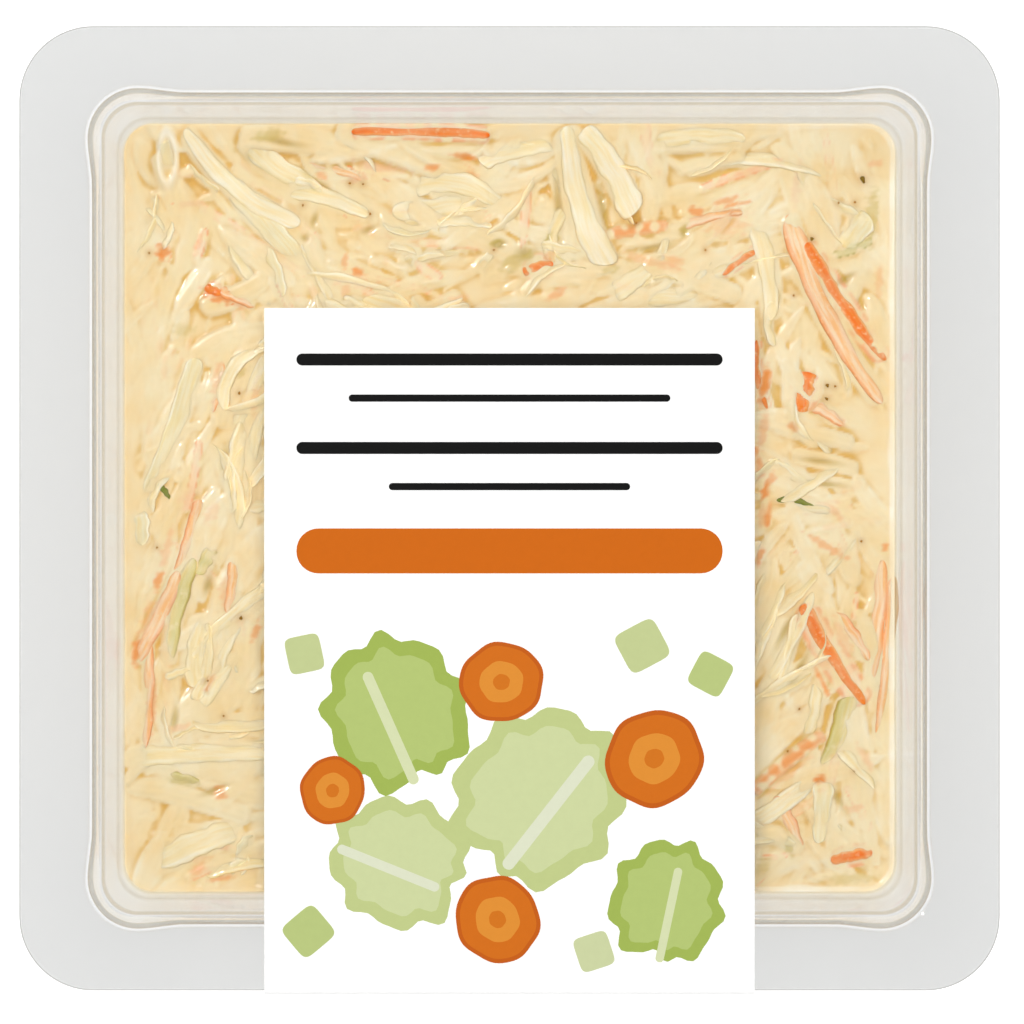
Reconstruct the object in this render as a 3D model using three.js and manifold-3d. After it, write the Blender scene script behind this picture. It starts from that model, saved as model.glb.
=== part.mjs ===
// Coleslaw in a sealed square tub: a clear thermoformed tray, its clear peel film,
// the wrap label over film and front wall, and the dressed shreds inside.
// Millimetres, +Z up, +X right, the label's fold faces -Y.
// Origin: centre of the whole pack's outline, on the surface that the tub stands on.

import * as THREE from 'three';
import { mergeVertices } from 'three/addons/utils/BufferGeometryUtils.js';
import Module from 'manifold-3d';

// ---- Driving dimensions ----------------------------------------------------------------

const TRAY_HEIGHT = 50;
const FLANGE_HALF_X = 61;
const FLANGE_HALF_Y = 60;
const FLANGE_CORNER = 9.2;
const SHEET = 0.6; // wall and flange thickness of the formed plastic

const MOUTH_HALF = 52; // inner edge of the flange, along X
const MOUTH_CORNER = 5.6;
const LIP_ROUND = 0.5; // roll of the sheet from the flange into the wall
const LEDGE_DEPTH = 5; // short upper wall down to the stacking ledge
const LEDGE_HALF = 51.5;
const LEDGE_CORNER = 4.4;
const LEDGE_STEP = 0.6; // how far the ledge steps in
const FOOD_DEPTH = 13; // contents' level below the flange
const FOOD_LINE_HALF = 49;
const FOOD_LINE_CORNER = 4.8;
const BODY_TAPER = THREE.MathUtils.degToRad(7); // lower wall's draft
const DEPTH_SHORTFALL = 0.2; // the cavity is this much shorter along Y than along X

const BASE_ROUND = 5.5; // fillet between wall and base
const BASE_CORNER = 11; // corners widen towards the base
const BASE_PANEL_INSET = 5; // raised panel in the base, inside the standing ring
const BASE_PANEL_RISE = 1;

const FILM_THICKNESS = 0.12;
const FILM_INSET = 0.3; // the film is trimmed just inside the flange's edge

const LABEL_WIDTH = 61;
const LABEL_THICKNESS = 0.2;
const LABEL_BACK_EDGE = 24.9; // the label's far edge on the lid
const LABEL_GAP = 0.08; // above the film
const LABEL_FOLD = 0.5; // inner radius over the flange's edge
const LABEL_WALL_TOP = 15; // the label meets the wall here and follows it down
const LABEL_WALL_END = 7.5;

const FIT_GAP = 0.3; // clearance between contents and tray
const CORE_SETBACK = 0.7; // the core's wall face behind the shreds pressed on the plastic

// ---- Outlines and lofted shells ----------------------------------------------------------

const TRAY_MESHING = { cornerSteps: 6, sideSteps: 1 };
const CORE_MESHING = { cornerSteps: 4, sideSteps: 10 };

/** A level of a loft: a rounded rectangle at a height. */
function level(halfX, halfY, radius, z) {
  return { halfX, halfY, radius, z };
}

/** Points of a rounded rectangle, anticlockwise from the +X end of the first corner. */
function outline({ halfX, halfY, radius }, { cornerSteps, sideSteps }) {
  const corners = [[1, 1], [-1, 1], [-1, -1], [1, -1]].map(([signX, signY]) => (
    new THREE.Vector2(signX * (halfX - radius), signY * (halfY - radius))
  ));
  const points = [];
  corners.forEach((centre, corner) => {
    for (let step = 0; step <= cornerSteps; step += 1) {
      const angle = (corner + step / cornerSteps) * Math.PI / 2;
      points.push(new THREE.Vector2(radius, 0).rotateAround(new THREE.Vector2(), angle).add(centre));
    }
    const sideStart = points[points.length - 1];
    const nextAngle = (corner + 1) * Math.PI / 2;
    const sideEnd = new THREE.Vector2(radius, 0)
      .rotateAround(new THREE.Vector2(), nextAngle)
      .add(corners[(corner + 1) % corners.length]);
    for (let step = 1; step < sideSteps; step += 1) {
      points.push(sideStart.clone().lerp(sideEnd, step / sideSteps));
    }
  });
  return points;
}

/**
 * Closed skin through a list of rings of 3-D points, with a fan at each end.
 * Rings run anticlockwise seen from above, and the skin starts at the underside.
 */
function skin(rings) {
  const count = rings[0].length;
  const middle = (ring) => ring
    .reduce((sum, point) => sum.add(point), new THREE.Vector3())
    .divideScalar(count);
  const positions = [...rings.flat(), middle(rings[0]), middle(rings[rings.length - 1])];
  const bottom = rings.length * count;
  const top = bottom + 1;
  const index = [];
  for (let side = 0; side < count; side += 1) {
    const next = (side + 1) % count;
    index.push(bottom, next, side);
    for (let ring = 0; ring < rings.length - 1; ring += 1) {
      const lower = ring * count;
      const upper = lower + count;
      index.push(lower + side, lower + next, upper + next);
      index.push(lower + side, upper + next, upper + side);
    }
    const last = (rings.length - 1) * count;
    index.push(top, last + side, last + next);
  }
  const geometry = new THREE.BufferGeometry().setFromPoints(positions);
  geometry.setIndex(index);
  return geometry;
}

/** The ring of a level, lifted by an optional relief(x, y). */
function ringOf(section, meshing, relief = () => 0) {
  return outline(section, meshing)
    .map(({ x, y }) => new THREE.Vector3(x, y, section.z + relief(x, y)));
}

/** A closed loft through levels of one meshing. */
function loft(levels, meshing) {
  return skin(levels.map((section) => ringOf(section, meshing)));
}

// ---- The cavity ---------------------------------------------------------------------------

const FOOD_LEVEL = TRAY_HEIGHT - FOOD_DEPTH;

/** Half-width along X of the cavity's plain lower wall at a height. */
function wallHalf(z) {
  return FOOD_LINE_HALF - (FOOD_LEVEL - z) * Math.tan(BODY_TAPER);
}

/** Corner radius of the cavity, easing from the food line to the base. */
function wallCorner(z) {
  return THREE.MathUtils.mapLinear(z, 0, FOOD_LEVEL, BASE_CORNER, FOOD_LINE_CORNER);
}

/** A cavity level, moved outwards by a distance square to the wall. */
function cavityLevel(half, radius, z, outwards = 0) {
  return level(half + outwards, half - DEPTH_SHORTFALL + outwards, radius + outwards, z);
}

/**
 * Levels of the cavity's lower part from its floor up to the food line, moved outwards by
 * a distance: a floor edge, a quarter-round fillet and the tapered wall.
 */
function basinLevels(outwards, floor) {
  const filletSteps = 4;
  const radius = BASE_ROUND + outwards;
  const shoulder = floor + radius;
  const shoulderHalf = wallHalf(shoulder);
  const fillet = Array.from({ length: filletSteps + 1 }, (_, step) => {
    const angle = (step / filletSteps) * Math.PI / 2;
    const inward = radius * (1 - Math.sin(angle));
    const corner = Math.max(wallCorner(shoulder) - inward, 2 * SHEET);
    return cavityLevel(shoulderHalf - inward, corner, shoulder - radius * Math.cos(angle), outwards);
  });
  const middle = (shoulder + FOOD_LEVEL) / 2;
  const wall = [middle, FOOD_LEVEL].map((z) => (
    cavityLevel(wallHalf(z), wallCorner(z), z, outwards)
  ));
  return [...fillet, ...wall];
}

/** Levels from the food line up to the mouth: funnel, stacking ledge and upper wall. */
function collarLevels(outwards) {
  const ledge = TRAY_HEIGHT - LEDGE_DEPTH;
  const lip = TRAY_HEIGHT - LIP_ROUND;
  return [
    cavityLevel(LEDGE_HALF - LEDGE_STEP, LEDGE_CORNER, ledge - LEDGE_STEP / 2, outwards),
    cavityLevel(LEDGE_HALF, LEDGE_CORNER, ledge, outwards),
    cavityLevel(MOUTH_HALF, MOUTH_CORNER, lip, outwards),
  ];
}

/** The raised panel's two levels on a floor. */
function panelLevels(floor) {
  const edge = wallHalf(floor) - BASE_ROUND - BASE_PANEL_INSET;
  const corner = BASE_CORNER / 2;
  return [
    cavityLevel(edge - BASE_PANEL_RISE, corner, floor + BASE_PANEL_RISE),
    cavityLevel(edge, corner, floor),
  ];
}

// ---- Tray -------------------------------------------------------------------------------------

/** Outside, flange and inside of the formed tray, as one closed skin. */
function trayGeometry() {
  const flangeUnder = TRAY_HEIGHT - SHEET;
  const outside = [...panelLevels(0), ...basinLevels(SHEET, 0), ...collarLevels(SHEET)];
  outside[outside.length - 1].z = flangeUnder;
  const flange = [flangeUnder, TRAY_HEIGHT].map((z) => (
    level(FLANGE_HALF_X, FLANGE_HALF_Y, FLANGE_CORNER, z)
  ));
  const lip = cavityLevel(MOUTH_HALF + LIP_ROUND, MOUTH_CORNER + LIP_ROUND, TRAY_HEIGHT);
  const inside = [...panelLevels(SHEET), ...basinLevels(0, SHEET), ...collarLevels(0)].reverse();
  return loft([...outside, ...flange, lip, ...inside], TRAY_MESHING);
}

// ---- Film and label ------------------------------------------------------------------------------

const FILM_TOP = TRAY_HEIGHT + FILM_THICKNESS;

/** The peel film, a flat sheet sealed on the flange. */
function filmGeometry() {
  const halves = [FLANGE_HALF_X - FILM_INSET, FLANGE_HALF_Y - FILM_INSET];
  const faces = [TRAY_HEIGHT, FILM_TOP].map((z) => level(...halves, FLANGE_CORNER - FILM_INSET, z));
  return loft(faces, TRAY_MESHING);
}

/** Points on both sides of a line, half a thickness away, as one closed outline. */
function stripOutline(line, thickness) {
  const side = (sign) => line.map((point, place) => {
    const before = line[Math.max(place - 1, 0)];
    const after = line[Math.min(place + 1, line.length - 1)];
    const along = after.clone().sub(before).normalize();
    return new THREE.Vector2(-along.y, along.x).multiplyScalar(sign * thickness / 2).add(point);
  });
  return new THREE.Shape([...side(1), ...side(-1).reverse()]);
}

/** Centre line of the label in (y, z): over the lid, round the flange's edge, down the front. */
function labelLine() {
  const foldRadius = LABEL_FOLD + LABEL_THICKNESS / 2;
  const top = FILM_TOP + LABEL_GAP + LABEL_THICKNESS / 2;
  const foldCentre = new THREE.Vector2(-FLANGE_HALF_Y + LABEL_GAP, top - foldRadius);
  const onWall = (z) => new THREE.Vector2(
    -(wallHalf(z) - DEPTH_SHORTFALL + SHEET + FIT_GAP + LABEL_THICKNESS / 2),
    z,
  );
  const slope = onWall(LABEL_WALL_TOP).sub(foldCentre);
  const lean = Math.atan2(slope.x, -slope.y);
  const line = new THREE.Path();
  line.moveTo(LABEL_BACK_EDGE, top);
  line.lineTo(foldCentre.x, top);
  line.absarc(foldCentre.x, foldCentre.y, foldRadius, Math.PI / 2, Math.PI + lean, false);
  const foldSteps = 3;
  return [...line.getPoints(foldSteps), onWall(LABEL_WALL_TOP), onWall(LABEL_WALL_END)];
}

/** The label, its side profile carried across its width. */
function labelGeometry() {
  const geometry = new THREE.ExtrudeGeometry(
    stripOutline(labelLine(), LABEL_THICKNESS),
    { depth: LABEL_WIDTH, bevelEnabled: false, steps: 1 },
  );
  geometry.translate(0, 0, -LABEL_WIDTH / 2);
  // The profile's first axis becomes Y and its second Z, so its depth runs along X.
  const place = new THREE.Matrix4().makeBasis(
    new THREE.Vector3(0, 1, 0),
    new THREE.Vector3(0, 0, 1),
    new THREE.Vector3(1, 0, 0),
  );
  return geometry.applyMatrix4(place);
}

// ---- Contents ---------------------------------------------------------------------------------------

const RANDOM_SEED = 17;
const SWELL_HEIGHT = 0.55; // slow rise and fall of the dressed surface
const SWELL_LENGTH = 23;
const RIPPLE_HEIGHT = 0.3; // shorter folds where shreds lie just under the dressing
const RIPPLE_LENGTH = 9;
const SURFACE_RINGS = 10;

/** Repeatable random numbers from 0 to 1 (a small multiply-and-shift generator). */
function randomSource(seed) {
  let state = seed;
  return () => {
    state = (state + 0x6d2b79f5) | 0;
    let mixed = Math.imul(state ^ (state >>> 15), 1 | state);
    mixed = (mixed + Math.imul(mixed ^ (mixed >>> 7), 61 | mixed)) ^ mixed;
    return ((mixed ^ (mixed >>> 14)) >>> 0) / 4294967296;
  };
}

/** Height of the dressed surface above its mean level: two crossed sets of waves. */
function surfaceRelief(x, y) {
  const swell = Math.sin((x + 0.6 * y) / SWELL_LENGTH * Math.PI)
    * Math.cos((y - 0.4 * x) / SWELL_LENGTH * Math.PI);
  const ripple = Math.sin((x - 0.5 * y) / RIPPLE_LENGTH * Math.PI)
    * Math.sin((y + 0.3 * x) / RIPPLE_LENGTH * Math.PI);
  return SWELL_HEIGHT * swell + RIPPLE_HEIGHT * ripple;
}

/** The room that the contents may fill: the cavity less a clearance, open above the food. */
function roomGeometry() {
  const spareHeight = 4;
  const room = basinLevels(-FIT_GAP, SHEET + FIT_GAP);
  const top = FOOD_LEVEL + spareHeight;
  const half = FOOD_LINE_HALF - FIT_GAP;
  room.push(cavityLevel(half, FOOD_LINE_CORNER, top));
  const panel = panelLevels(SHEET + FIT_GAP);
  return loft([...panel, ...room], CORE_MESHING);
}

/** The core: the dressing and the shreds sunk in it, with the surface's slow relief. */
function coreGeometry() {
  const inwards = -(FIT_GAP + CORE_SETBACK);
  const walls = [...panelLevels(SHEET - inwards), ...basinLevels(inwards, SHEET - inwards)];
  const rim = walls.pop();
  const surface = Array.from({ length: SURFACE_RINGS }, (_, ring) => {
    const share = 1 - ring / SURFACE_RINGS;
    return level(rim.halfX * share, rim.halfY * share, rim.radius * share, rim.z);
  });
  return skin([
    ...walls.map((section) => ringOf(section, CORE_MESHING)),
    ...surface.map((section) => ringOf(section, CORE_MESHING, surfaceRelief)),
  ]);
}

/** Cross-section of a cut shred: a flat strip with its upper edges taken off. */
function shredSection(width, thickness) {
  const edge = 0.36;
  return new THREE.Shape([
    new THREE.Vector2(-thickness / 2, -width * edge),
    new THREE.Vector2(thickness / 2, -width / 2),
    new THREE.Vector2(thickness / 2, width / 2),
    new THREE.Vector2(-thickness / 2, width * edge),
  ]);
}

/** A shred carried along a smooth line. */
function shredGeometry(points, width, thickness) {
  const steps = 4;
  return new THREE.ExtrudeGeometry(shredSection(width, thickness), {
    steps,
    bevelEnabled: false,
    extrudePath: new THREE.CatmullRomCurve3(points),
  });
}

/** Five points of an arc in a plane: centre, heading, length and sideways bow. */
function bowedLine({ x, y, heading, length, bow }) {
  const along = new THREE.Vector2(Math.cos(heading), Math.sin(heading));
  const aside = new THREE.Vector2(-along.y, along.x);
  return [-1, -0.5, 0, 0.5, 1].map((share) => new THREE.Vector2(x, y)
    .addScaledVector(along, share * length / 2)
    .addScaledVector(aside, bow * (1 - share * share)));
}

/** A shred lying on the dressed surface, its ends dipping under it. */
function surfaceShred({ width, thickness, proud, ...line }) {
  const dip = 0.9;
  const flat = bowedLine(line);
  const points = flat.map(({ x, y }, place) => {
    const end = place === 0 || place === flat.length - 1;
    const lift = proud - thickness / 2 - (end ? dip : 0);
    return new THREE.Vector3(x, y, FOOD_LEVEL + surfaceRelief(x, y) + lift);
  });
  return shredGeometry(points, width, thickness);
}

// The large shreds that lie clear on top: carrot and cabbage by place and heading in degrees.
const LARGE_SHREDS = [
  { x: 41, y: 25, heading: -64, length: 25, width: 2.9, bow: -0.8 },
  { x: 43.2, y: 26.5, heading: -57, length: 18, width: 2.2, bow: 0.4 },
  { x: 41.4, y: -18.5, heading: -57, length: 14.5, width: 2.5, bow: 0.4 },
  { x: -11.2, y: 46.6, heading: -3, length: 17, width: 1.6, bow: 0.5 },
  { x: 35.5, y: -32.4, heading: 38, length: 10, width: 2.3, bow: 0 },
  { x: -45.2, y: -13.5, heading: 70, length: 13, width: 2.4, bow: 0.6 },
  { x: -45.4, y: -24, heading: -86, length: 14, width: 1.9, bow: 0 },
  { x: 46.2, y: -17, heading: -87, length: 22, width: 1.7, bow: -0.4 },
  { x: 10.8, y: 38, heading: -78, length: 21, width: 3.8, bow: 1.6 },
  { x: 14, y: 41.8, heading: -61, length: 15, width: 3.4, bow: 0.5 },
  { x: -34, y: 41, heading: -40, length: 19, width: 3.2, bow: 1.2 },
  { x: -31.5, y: 35.5, heading: -48, length: 15, width: 3.4, bow: 0.6 },
  { x: -43.7, y: 10.5, heading: 71, length: 18, width: 3.2, bow: 0 },
  { x: -39.5, y: -31.5, heading: -2, length: 17, width: 3.4, bow: 0.3 },
  { x: -42.2, y: -14.8, heading: 76, length: 10.5, width: 2.6, bow: -0.3 },
  { x: 41.2, y: -34, heading: 78, length: 18, width: 3.4, bow: 0.8 },
];

const LARGE_THICKNESS = 1.5;
const LARGE_PROUD = 1;
const SMALL_SHREDS = 62;
const WALL_SHREDS_PER_SIDE = 8;

/** Small shreds strewn over the surface, longest first, and few of them under the label. */
function smallShreds(random) {
  const reach = FOOD_LINE_HALF - 5;
  const keptUnderLabel = 4;
  const hidden = ({ x, y }) => Math.abs(x) < LABEL_WIDTH / 2 && y < LABEL_BACK_EDGE;
  return Array.from({ length: SMALL_SHREDS * 2 }, (_, place) => ({
    x: (2 * random() - 1) * reach,
    y: (2 * random() - 1) * reach,
    heading: random() * 180,
    length: THREE.MathUtils.lerp(20, 8, place / SMALL_SHREDS / 2),
    width: THREE.MathUtils.lerp(1.6, 3, random()),
    bow: (2 * random() - 1) * 1.6,
    thickness: 1.5,
    proud: THREE.MathUtils.lerp(0.55, 0.95, random()),
  }))
    .filter((shred, place) => !hidden(shred) || place % keptUnderLabel === 0)
    .slice(0, SMALL_SHREDS);
}

/** Shreds pressed flat against one side of the tray, turned there from the -Y side. */
function wallShreds(random, turn) {
  const thickness = 1.6;
  const lowest = BASE_ROUND + 4;
  const highest = FOOD_LEVEL - 4;
  return Array.from({ length: WALL_SHREDS_PER_SIDE }, (_, place) => {
    const share = (place + 0.5) / WALL_SHREDS_PER_SIDE;
    const line = bowedLine({
      x: (2 * share - 1) * (FOOD_LINE_HALF - 13),
      y: THREE.MathUtils.lerp(lowest, highest, random()),
      heading: (random() - 0.5) * 2.2,
      length: THREE.MathUtils.lerp(8, 17, random()),
      bow: (2 * random() - 1) * 1.2,
    });
    const points = line.map(({ x, y }) => {
      const height = THREE.MathUtils.clamp(y, lowest, highest);
      const face = wallHalf(height) - DEPTH_SHORTFALL - FIT_GAP;
      return new THREE.Vector3(x, -(face - 0.45 * thickness), height);
    });
    const width = THREE.MathUtils.lerp(1.6, 3, random());
    return shredGeometry(points, width, thickness).rotateZ(turn * Math.PI / 2);
  });
}

/** Core and shreds joined to one solid, trimmed to the tray's room. */
function contentsGeometry(wasm) {
  const random = randomSource(RANDOM_SEED);
  const large = LARGE_SHREDS.map((shred) => (
    { thickness: LARGE_THICKNESS, proud: LARGE_PROUD, ...shred }
  ));
  const onTop = [...large, ...smallShreds(random)].map((shred) => (
    surfaceShred({ ...shred, heading: THREE.MathUtils.degToRad(shred.heading) })
  ));
  const onWalls = [0, 1, 2, 3].flatMap((turn) => wallShreds(random, turn));
  const joined = [...onTop, ...onWalls]
    .map((geometry) => solid(wasm, geometry))
    .reduce((sum, piece) => sum.add(piece), solid(wasm, coreGeometry()))
    .intersect(solid(wasm, roomGeometry()));
  return geometryOf(largestBody(joined));
}

// ---- Joining ------------------------------------------------------------------------------------------

/** A geometry with position alone and shared corners merged. */
function merged(geometry) {
  geometry.deleteAttribute('normal');
  geometry.deleteAttribute('uv');
  return mergeVertices(geometry, 1e-4);
}

/** The solid of a closed geometry. */
function solid(wasm, geometry) {
  const closed = merged(geometry);
  return new wasm.Manifold(new wasm.Mesh({
    numProp: 3,
    vertProperties: new Float32Array(closed.attributes.position.array),
    triVerts: new Uint32Array(closed.index.array),
  }));
}

/** The largest separate shell: sealed pockets are filled and loose scraps are dropped. */
function largestBody(joined) {
  const smallestDetail = 0.12;
  return joined
    .decompose()
    .reduce((largest, body) => (body.volume() > largest.volume() ? body : largest))
    .simplify(smallestDetail);
}

/** A geometry from a solid. */
function geometryOf(body) {
  const mesh = body.getMesh();
  const geometry = new THREE.BufferGeometry();
  geometry.setAttribute('position', new THREE.BufferAttribute(mesh.vertProperties, mesh.numProp));
  geometry.setIndex(new THREE.BufferAttribute(mesh.triVerts, 1));
  return geometry;
}

// ---- The pack --------------------------------------------------------------------------------------------

const FINISHES = {
  tub: { color: '#e9ebe8', roughness: 0.12, transparent: true, opacity: 0.35 },
  lid_film: { color: '#f4f5f4', roughness: 0.08, transparent: true, opacity: 0.2 },
  label: { color: '#fbfbfa', roughness: 0.45 },
  coleslaw: { color: '#f0dfb0', roughness: 0.3 },
};

/** A named mesh with its own material. */
function part(name, geometry) {
  const mesh = new THREE.Mesh(geometry, new THREE.MeshStandardMaterial({
    metalness: 0,
    ...FINISHES[name],
  }));
  mesh.name = name;
  geometry.computeVertexNormals();
  return mesh;
}

const wasm = await Module();
wasm.setup();

const pack = new THREE.Group();
pack.add(
  part('tub', trayGeometry()),
  part('lid_film', filmGeometry()),
  part('label', merged(labelGeometry())),
  part('coleslaw', contentsGeometry(wasm)),
);
// The label stands past the flange in front, so half of that centres the whole outline.
pack.position.y = (LABEL_FOLD + LABEL_THICKNESS - LABEL_GAP) / 2;

export default pack;
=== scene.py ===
"""A sealed clear tub of coleslaw: formed tray, peel film, wrap label and the dressed salad.

Shapes are worked out in millimetres round the tub's own axis and put into the part's frame, in
metres, when a mesh is made.
"""

import logging
import math
from dataclasses import dataclass, field
from enum import Enum
from functools import reduce

import bpy
import numpy as np
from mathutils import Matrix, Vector


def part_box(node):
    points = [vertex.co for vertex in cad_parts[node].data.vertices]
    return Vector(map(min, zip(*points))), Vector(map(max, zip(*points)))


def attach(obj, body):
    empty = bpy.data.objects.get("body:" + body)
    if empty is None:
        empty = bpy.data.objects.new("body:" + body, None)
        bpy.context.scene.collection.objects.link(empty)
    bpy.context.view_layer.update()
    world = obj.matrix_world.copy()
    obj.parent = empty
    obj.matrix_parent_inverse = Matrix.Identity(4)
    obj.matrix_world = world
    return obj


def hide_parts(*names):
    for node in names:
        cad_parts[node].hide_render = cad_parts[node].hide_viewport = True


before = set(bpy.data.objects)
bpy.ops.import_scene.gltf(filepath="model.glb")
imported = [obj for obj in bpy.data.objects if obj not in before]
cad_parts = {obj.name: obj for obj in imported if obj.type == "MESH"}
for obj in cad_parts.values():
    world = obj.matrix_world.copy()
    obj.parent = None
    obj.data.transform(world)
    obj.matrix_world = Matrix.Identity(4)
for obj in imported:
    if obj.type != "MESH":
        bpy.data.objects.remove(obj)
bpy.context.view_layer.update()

Array = np.ndarray
Tree = bpy.types.NodeTree
Socket = bpy.types.NodeSocket
log = logging.getLogger("coleslaw")

MM = 0.001
TUB_LOW, TUB_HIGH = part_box("tub")
AXIS_Y = (TUB_LOW.y + TUB_HIGH.y) / 2  # the label's fold puts the tub a little off the origin
RIM = TUB_HIGH.z / MM  # flange top above the table
FOOD_LEVEL = RIM - 13.0  # the salad's mean height
FOOD_HALF = 49.0  # half-width of the cavity there
FOOD_CORNER = 3.7
SHORT_IN_Y = 0.2  # the cavity is this much narrower along Y, on each side
WALL_TAPER = math.tan(math.radians(7.0))


# ---- Small tools ---------------------------------


def linear(code: str) -> tuple[float, float, float, float]:
    """Turn an sRGB hex colour into the linear values that shaders use.

    Args:
        code: Six hex digits after a hash.

    Returns:
        Red, green, blue and an alpha of one.
    """
    shares = (int(code[place : place + 2], 16) / 255 for place in (1, 3, 5))
    parts = (c / 12.92 if c <= 0.04045 else ((c + 0.055) / 1.055) ** 2.4 for c in shares)
    red, green, blue = parts
    return red, green, blue, 1.0


def rgb(code: str) -> Array:
    """Linear red, green and blue of a hex colour, as an array."""
    return np.array(linear(code)[:3])


def smooth(share: Array) -> Array:
    """Ease from 0 to 1: the share clipped to that range, then 3t^2 - 2t^3."""
    held = np.clip(share, 0.0, 1.0)
    return held * held * (3 - 2 * held)


def add_node(
    tree: Tree,
    kind: str,
    inputs: dict[str | int, object] | None = None,
    output: str | int = 0,
    **settings: object,
) -> Socket:
    """Add one node with its inputs and its settings.

    Args:
        tree: The material's node tree.
        kind: The node's type name after "ShaderNode".
        inputs: Values or sockets to link, by the input's name or number.
        output: Name or number of the wanted output.
        settings: Properties of the node.

    Returns:
        The wanted output.
    """
    node = tree.nodes.new("ShaderNode" + kind)
    for name, value in settings.items():
        setattr(node, name, value)
    for name, value in (inputs or {}).items():
        if isinstance(value, Socket):
            tree.links.new(value, node.inputs[name])
        else:
            node.inputs[name].default_value = value
    return node.outputs[output]


def ripples(u: Array, v: Array, size: float, seed: int, count: int = 9) -> Array:
    """Smooth unrepeating noise: a sum of plane waves in random directions.

    Each wave's length lies within 0.6 to 1.7 times the size, and a slow wave of the other
    coordinate bends it.

    Args:
        u: First coordinate, in mm.
        v: Second coordinate, in mm.
        size: Typical length of a ripple, in mm.
        seed: Seed of the wave directions.
        count: Number of waves.

    Returns:
        Values that mostly lie between -1 and 1.
    """
    draw = np.random.default_rng(seed)
    total = np.zeros_like(u)
    for turn, length, phase in zip(
        draw.uniform(0, math.tau, count),
        size * draw.uniform(0.6, 1.7, count),
        draw.uniform(0, math.tau, count),
    ):
        bent = 0.35 * length * np.sin((v * math.cos(turn) - u * math.sin(turn)) / length)
        total += np.sin((u * math.cos(turn) + v * math.sin(turn) + bent) * math.tau / length + phase)
    return total / math.sqrt(count)


# ---- Surfaces ------------------------------------


def band(rings: Array) -> Array:
    """Quads between neighbouring closed rings.

    Args:
        rings: Vertex numbers, one ring a row.

    Returns:
        Rows of four vertex numbers.
    """
    beside = np.roll(rings, -1, axis=1)
    return np.stack([rings[:-1], beside[:-1], beside[1:], rings[1:]], -1).reshape(-1, 4)


def fan(centre: int, ring: Array) -> Array:
    """Triangles from each edge of a closed ring to one vertex."""
    return np.stack([np.full_like(ring, centre), ring, np.roll(ring, -1)], -1)


def sheet_quads(numbers: Array) -> Array:
    """Quads of an open grid of vertex numbers."""
    corners = [numbers[:-1, :-1], numbers[1:, :-1], numbers[1:, 1:], numbers[:-1, 1:]]
    return np.stack(corners, -1).reshape(-1, 4)


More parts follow.
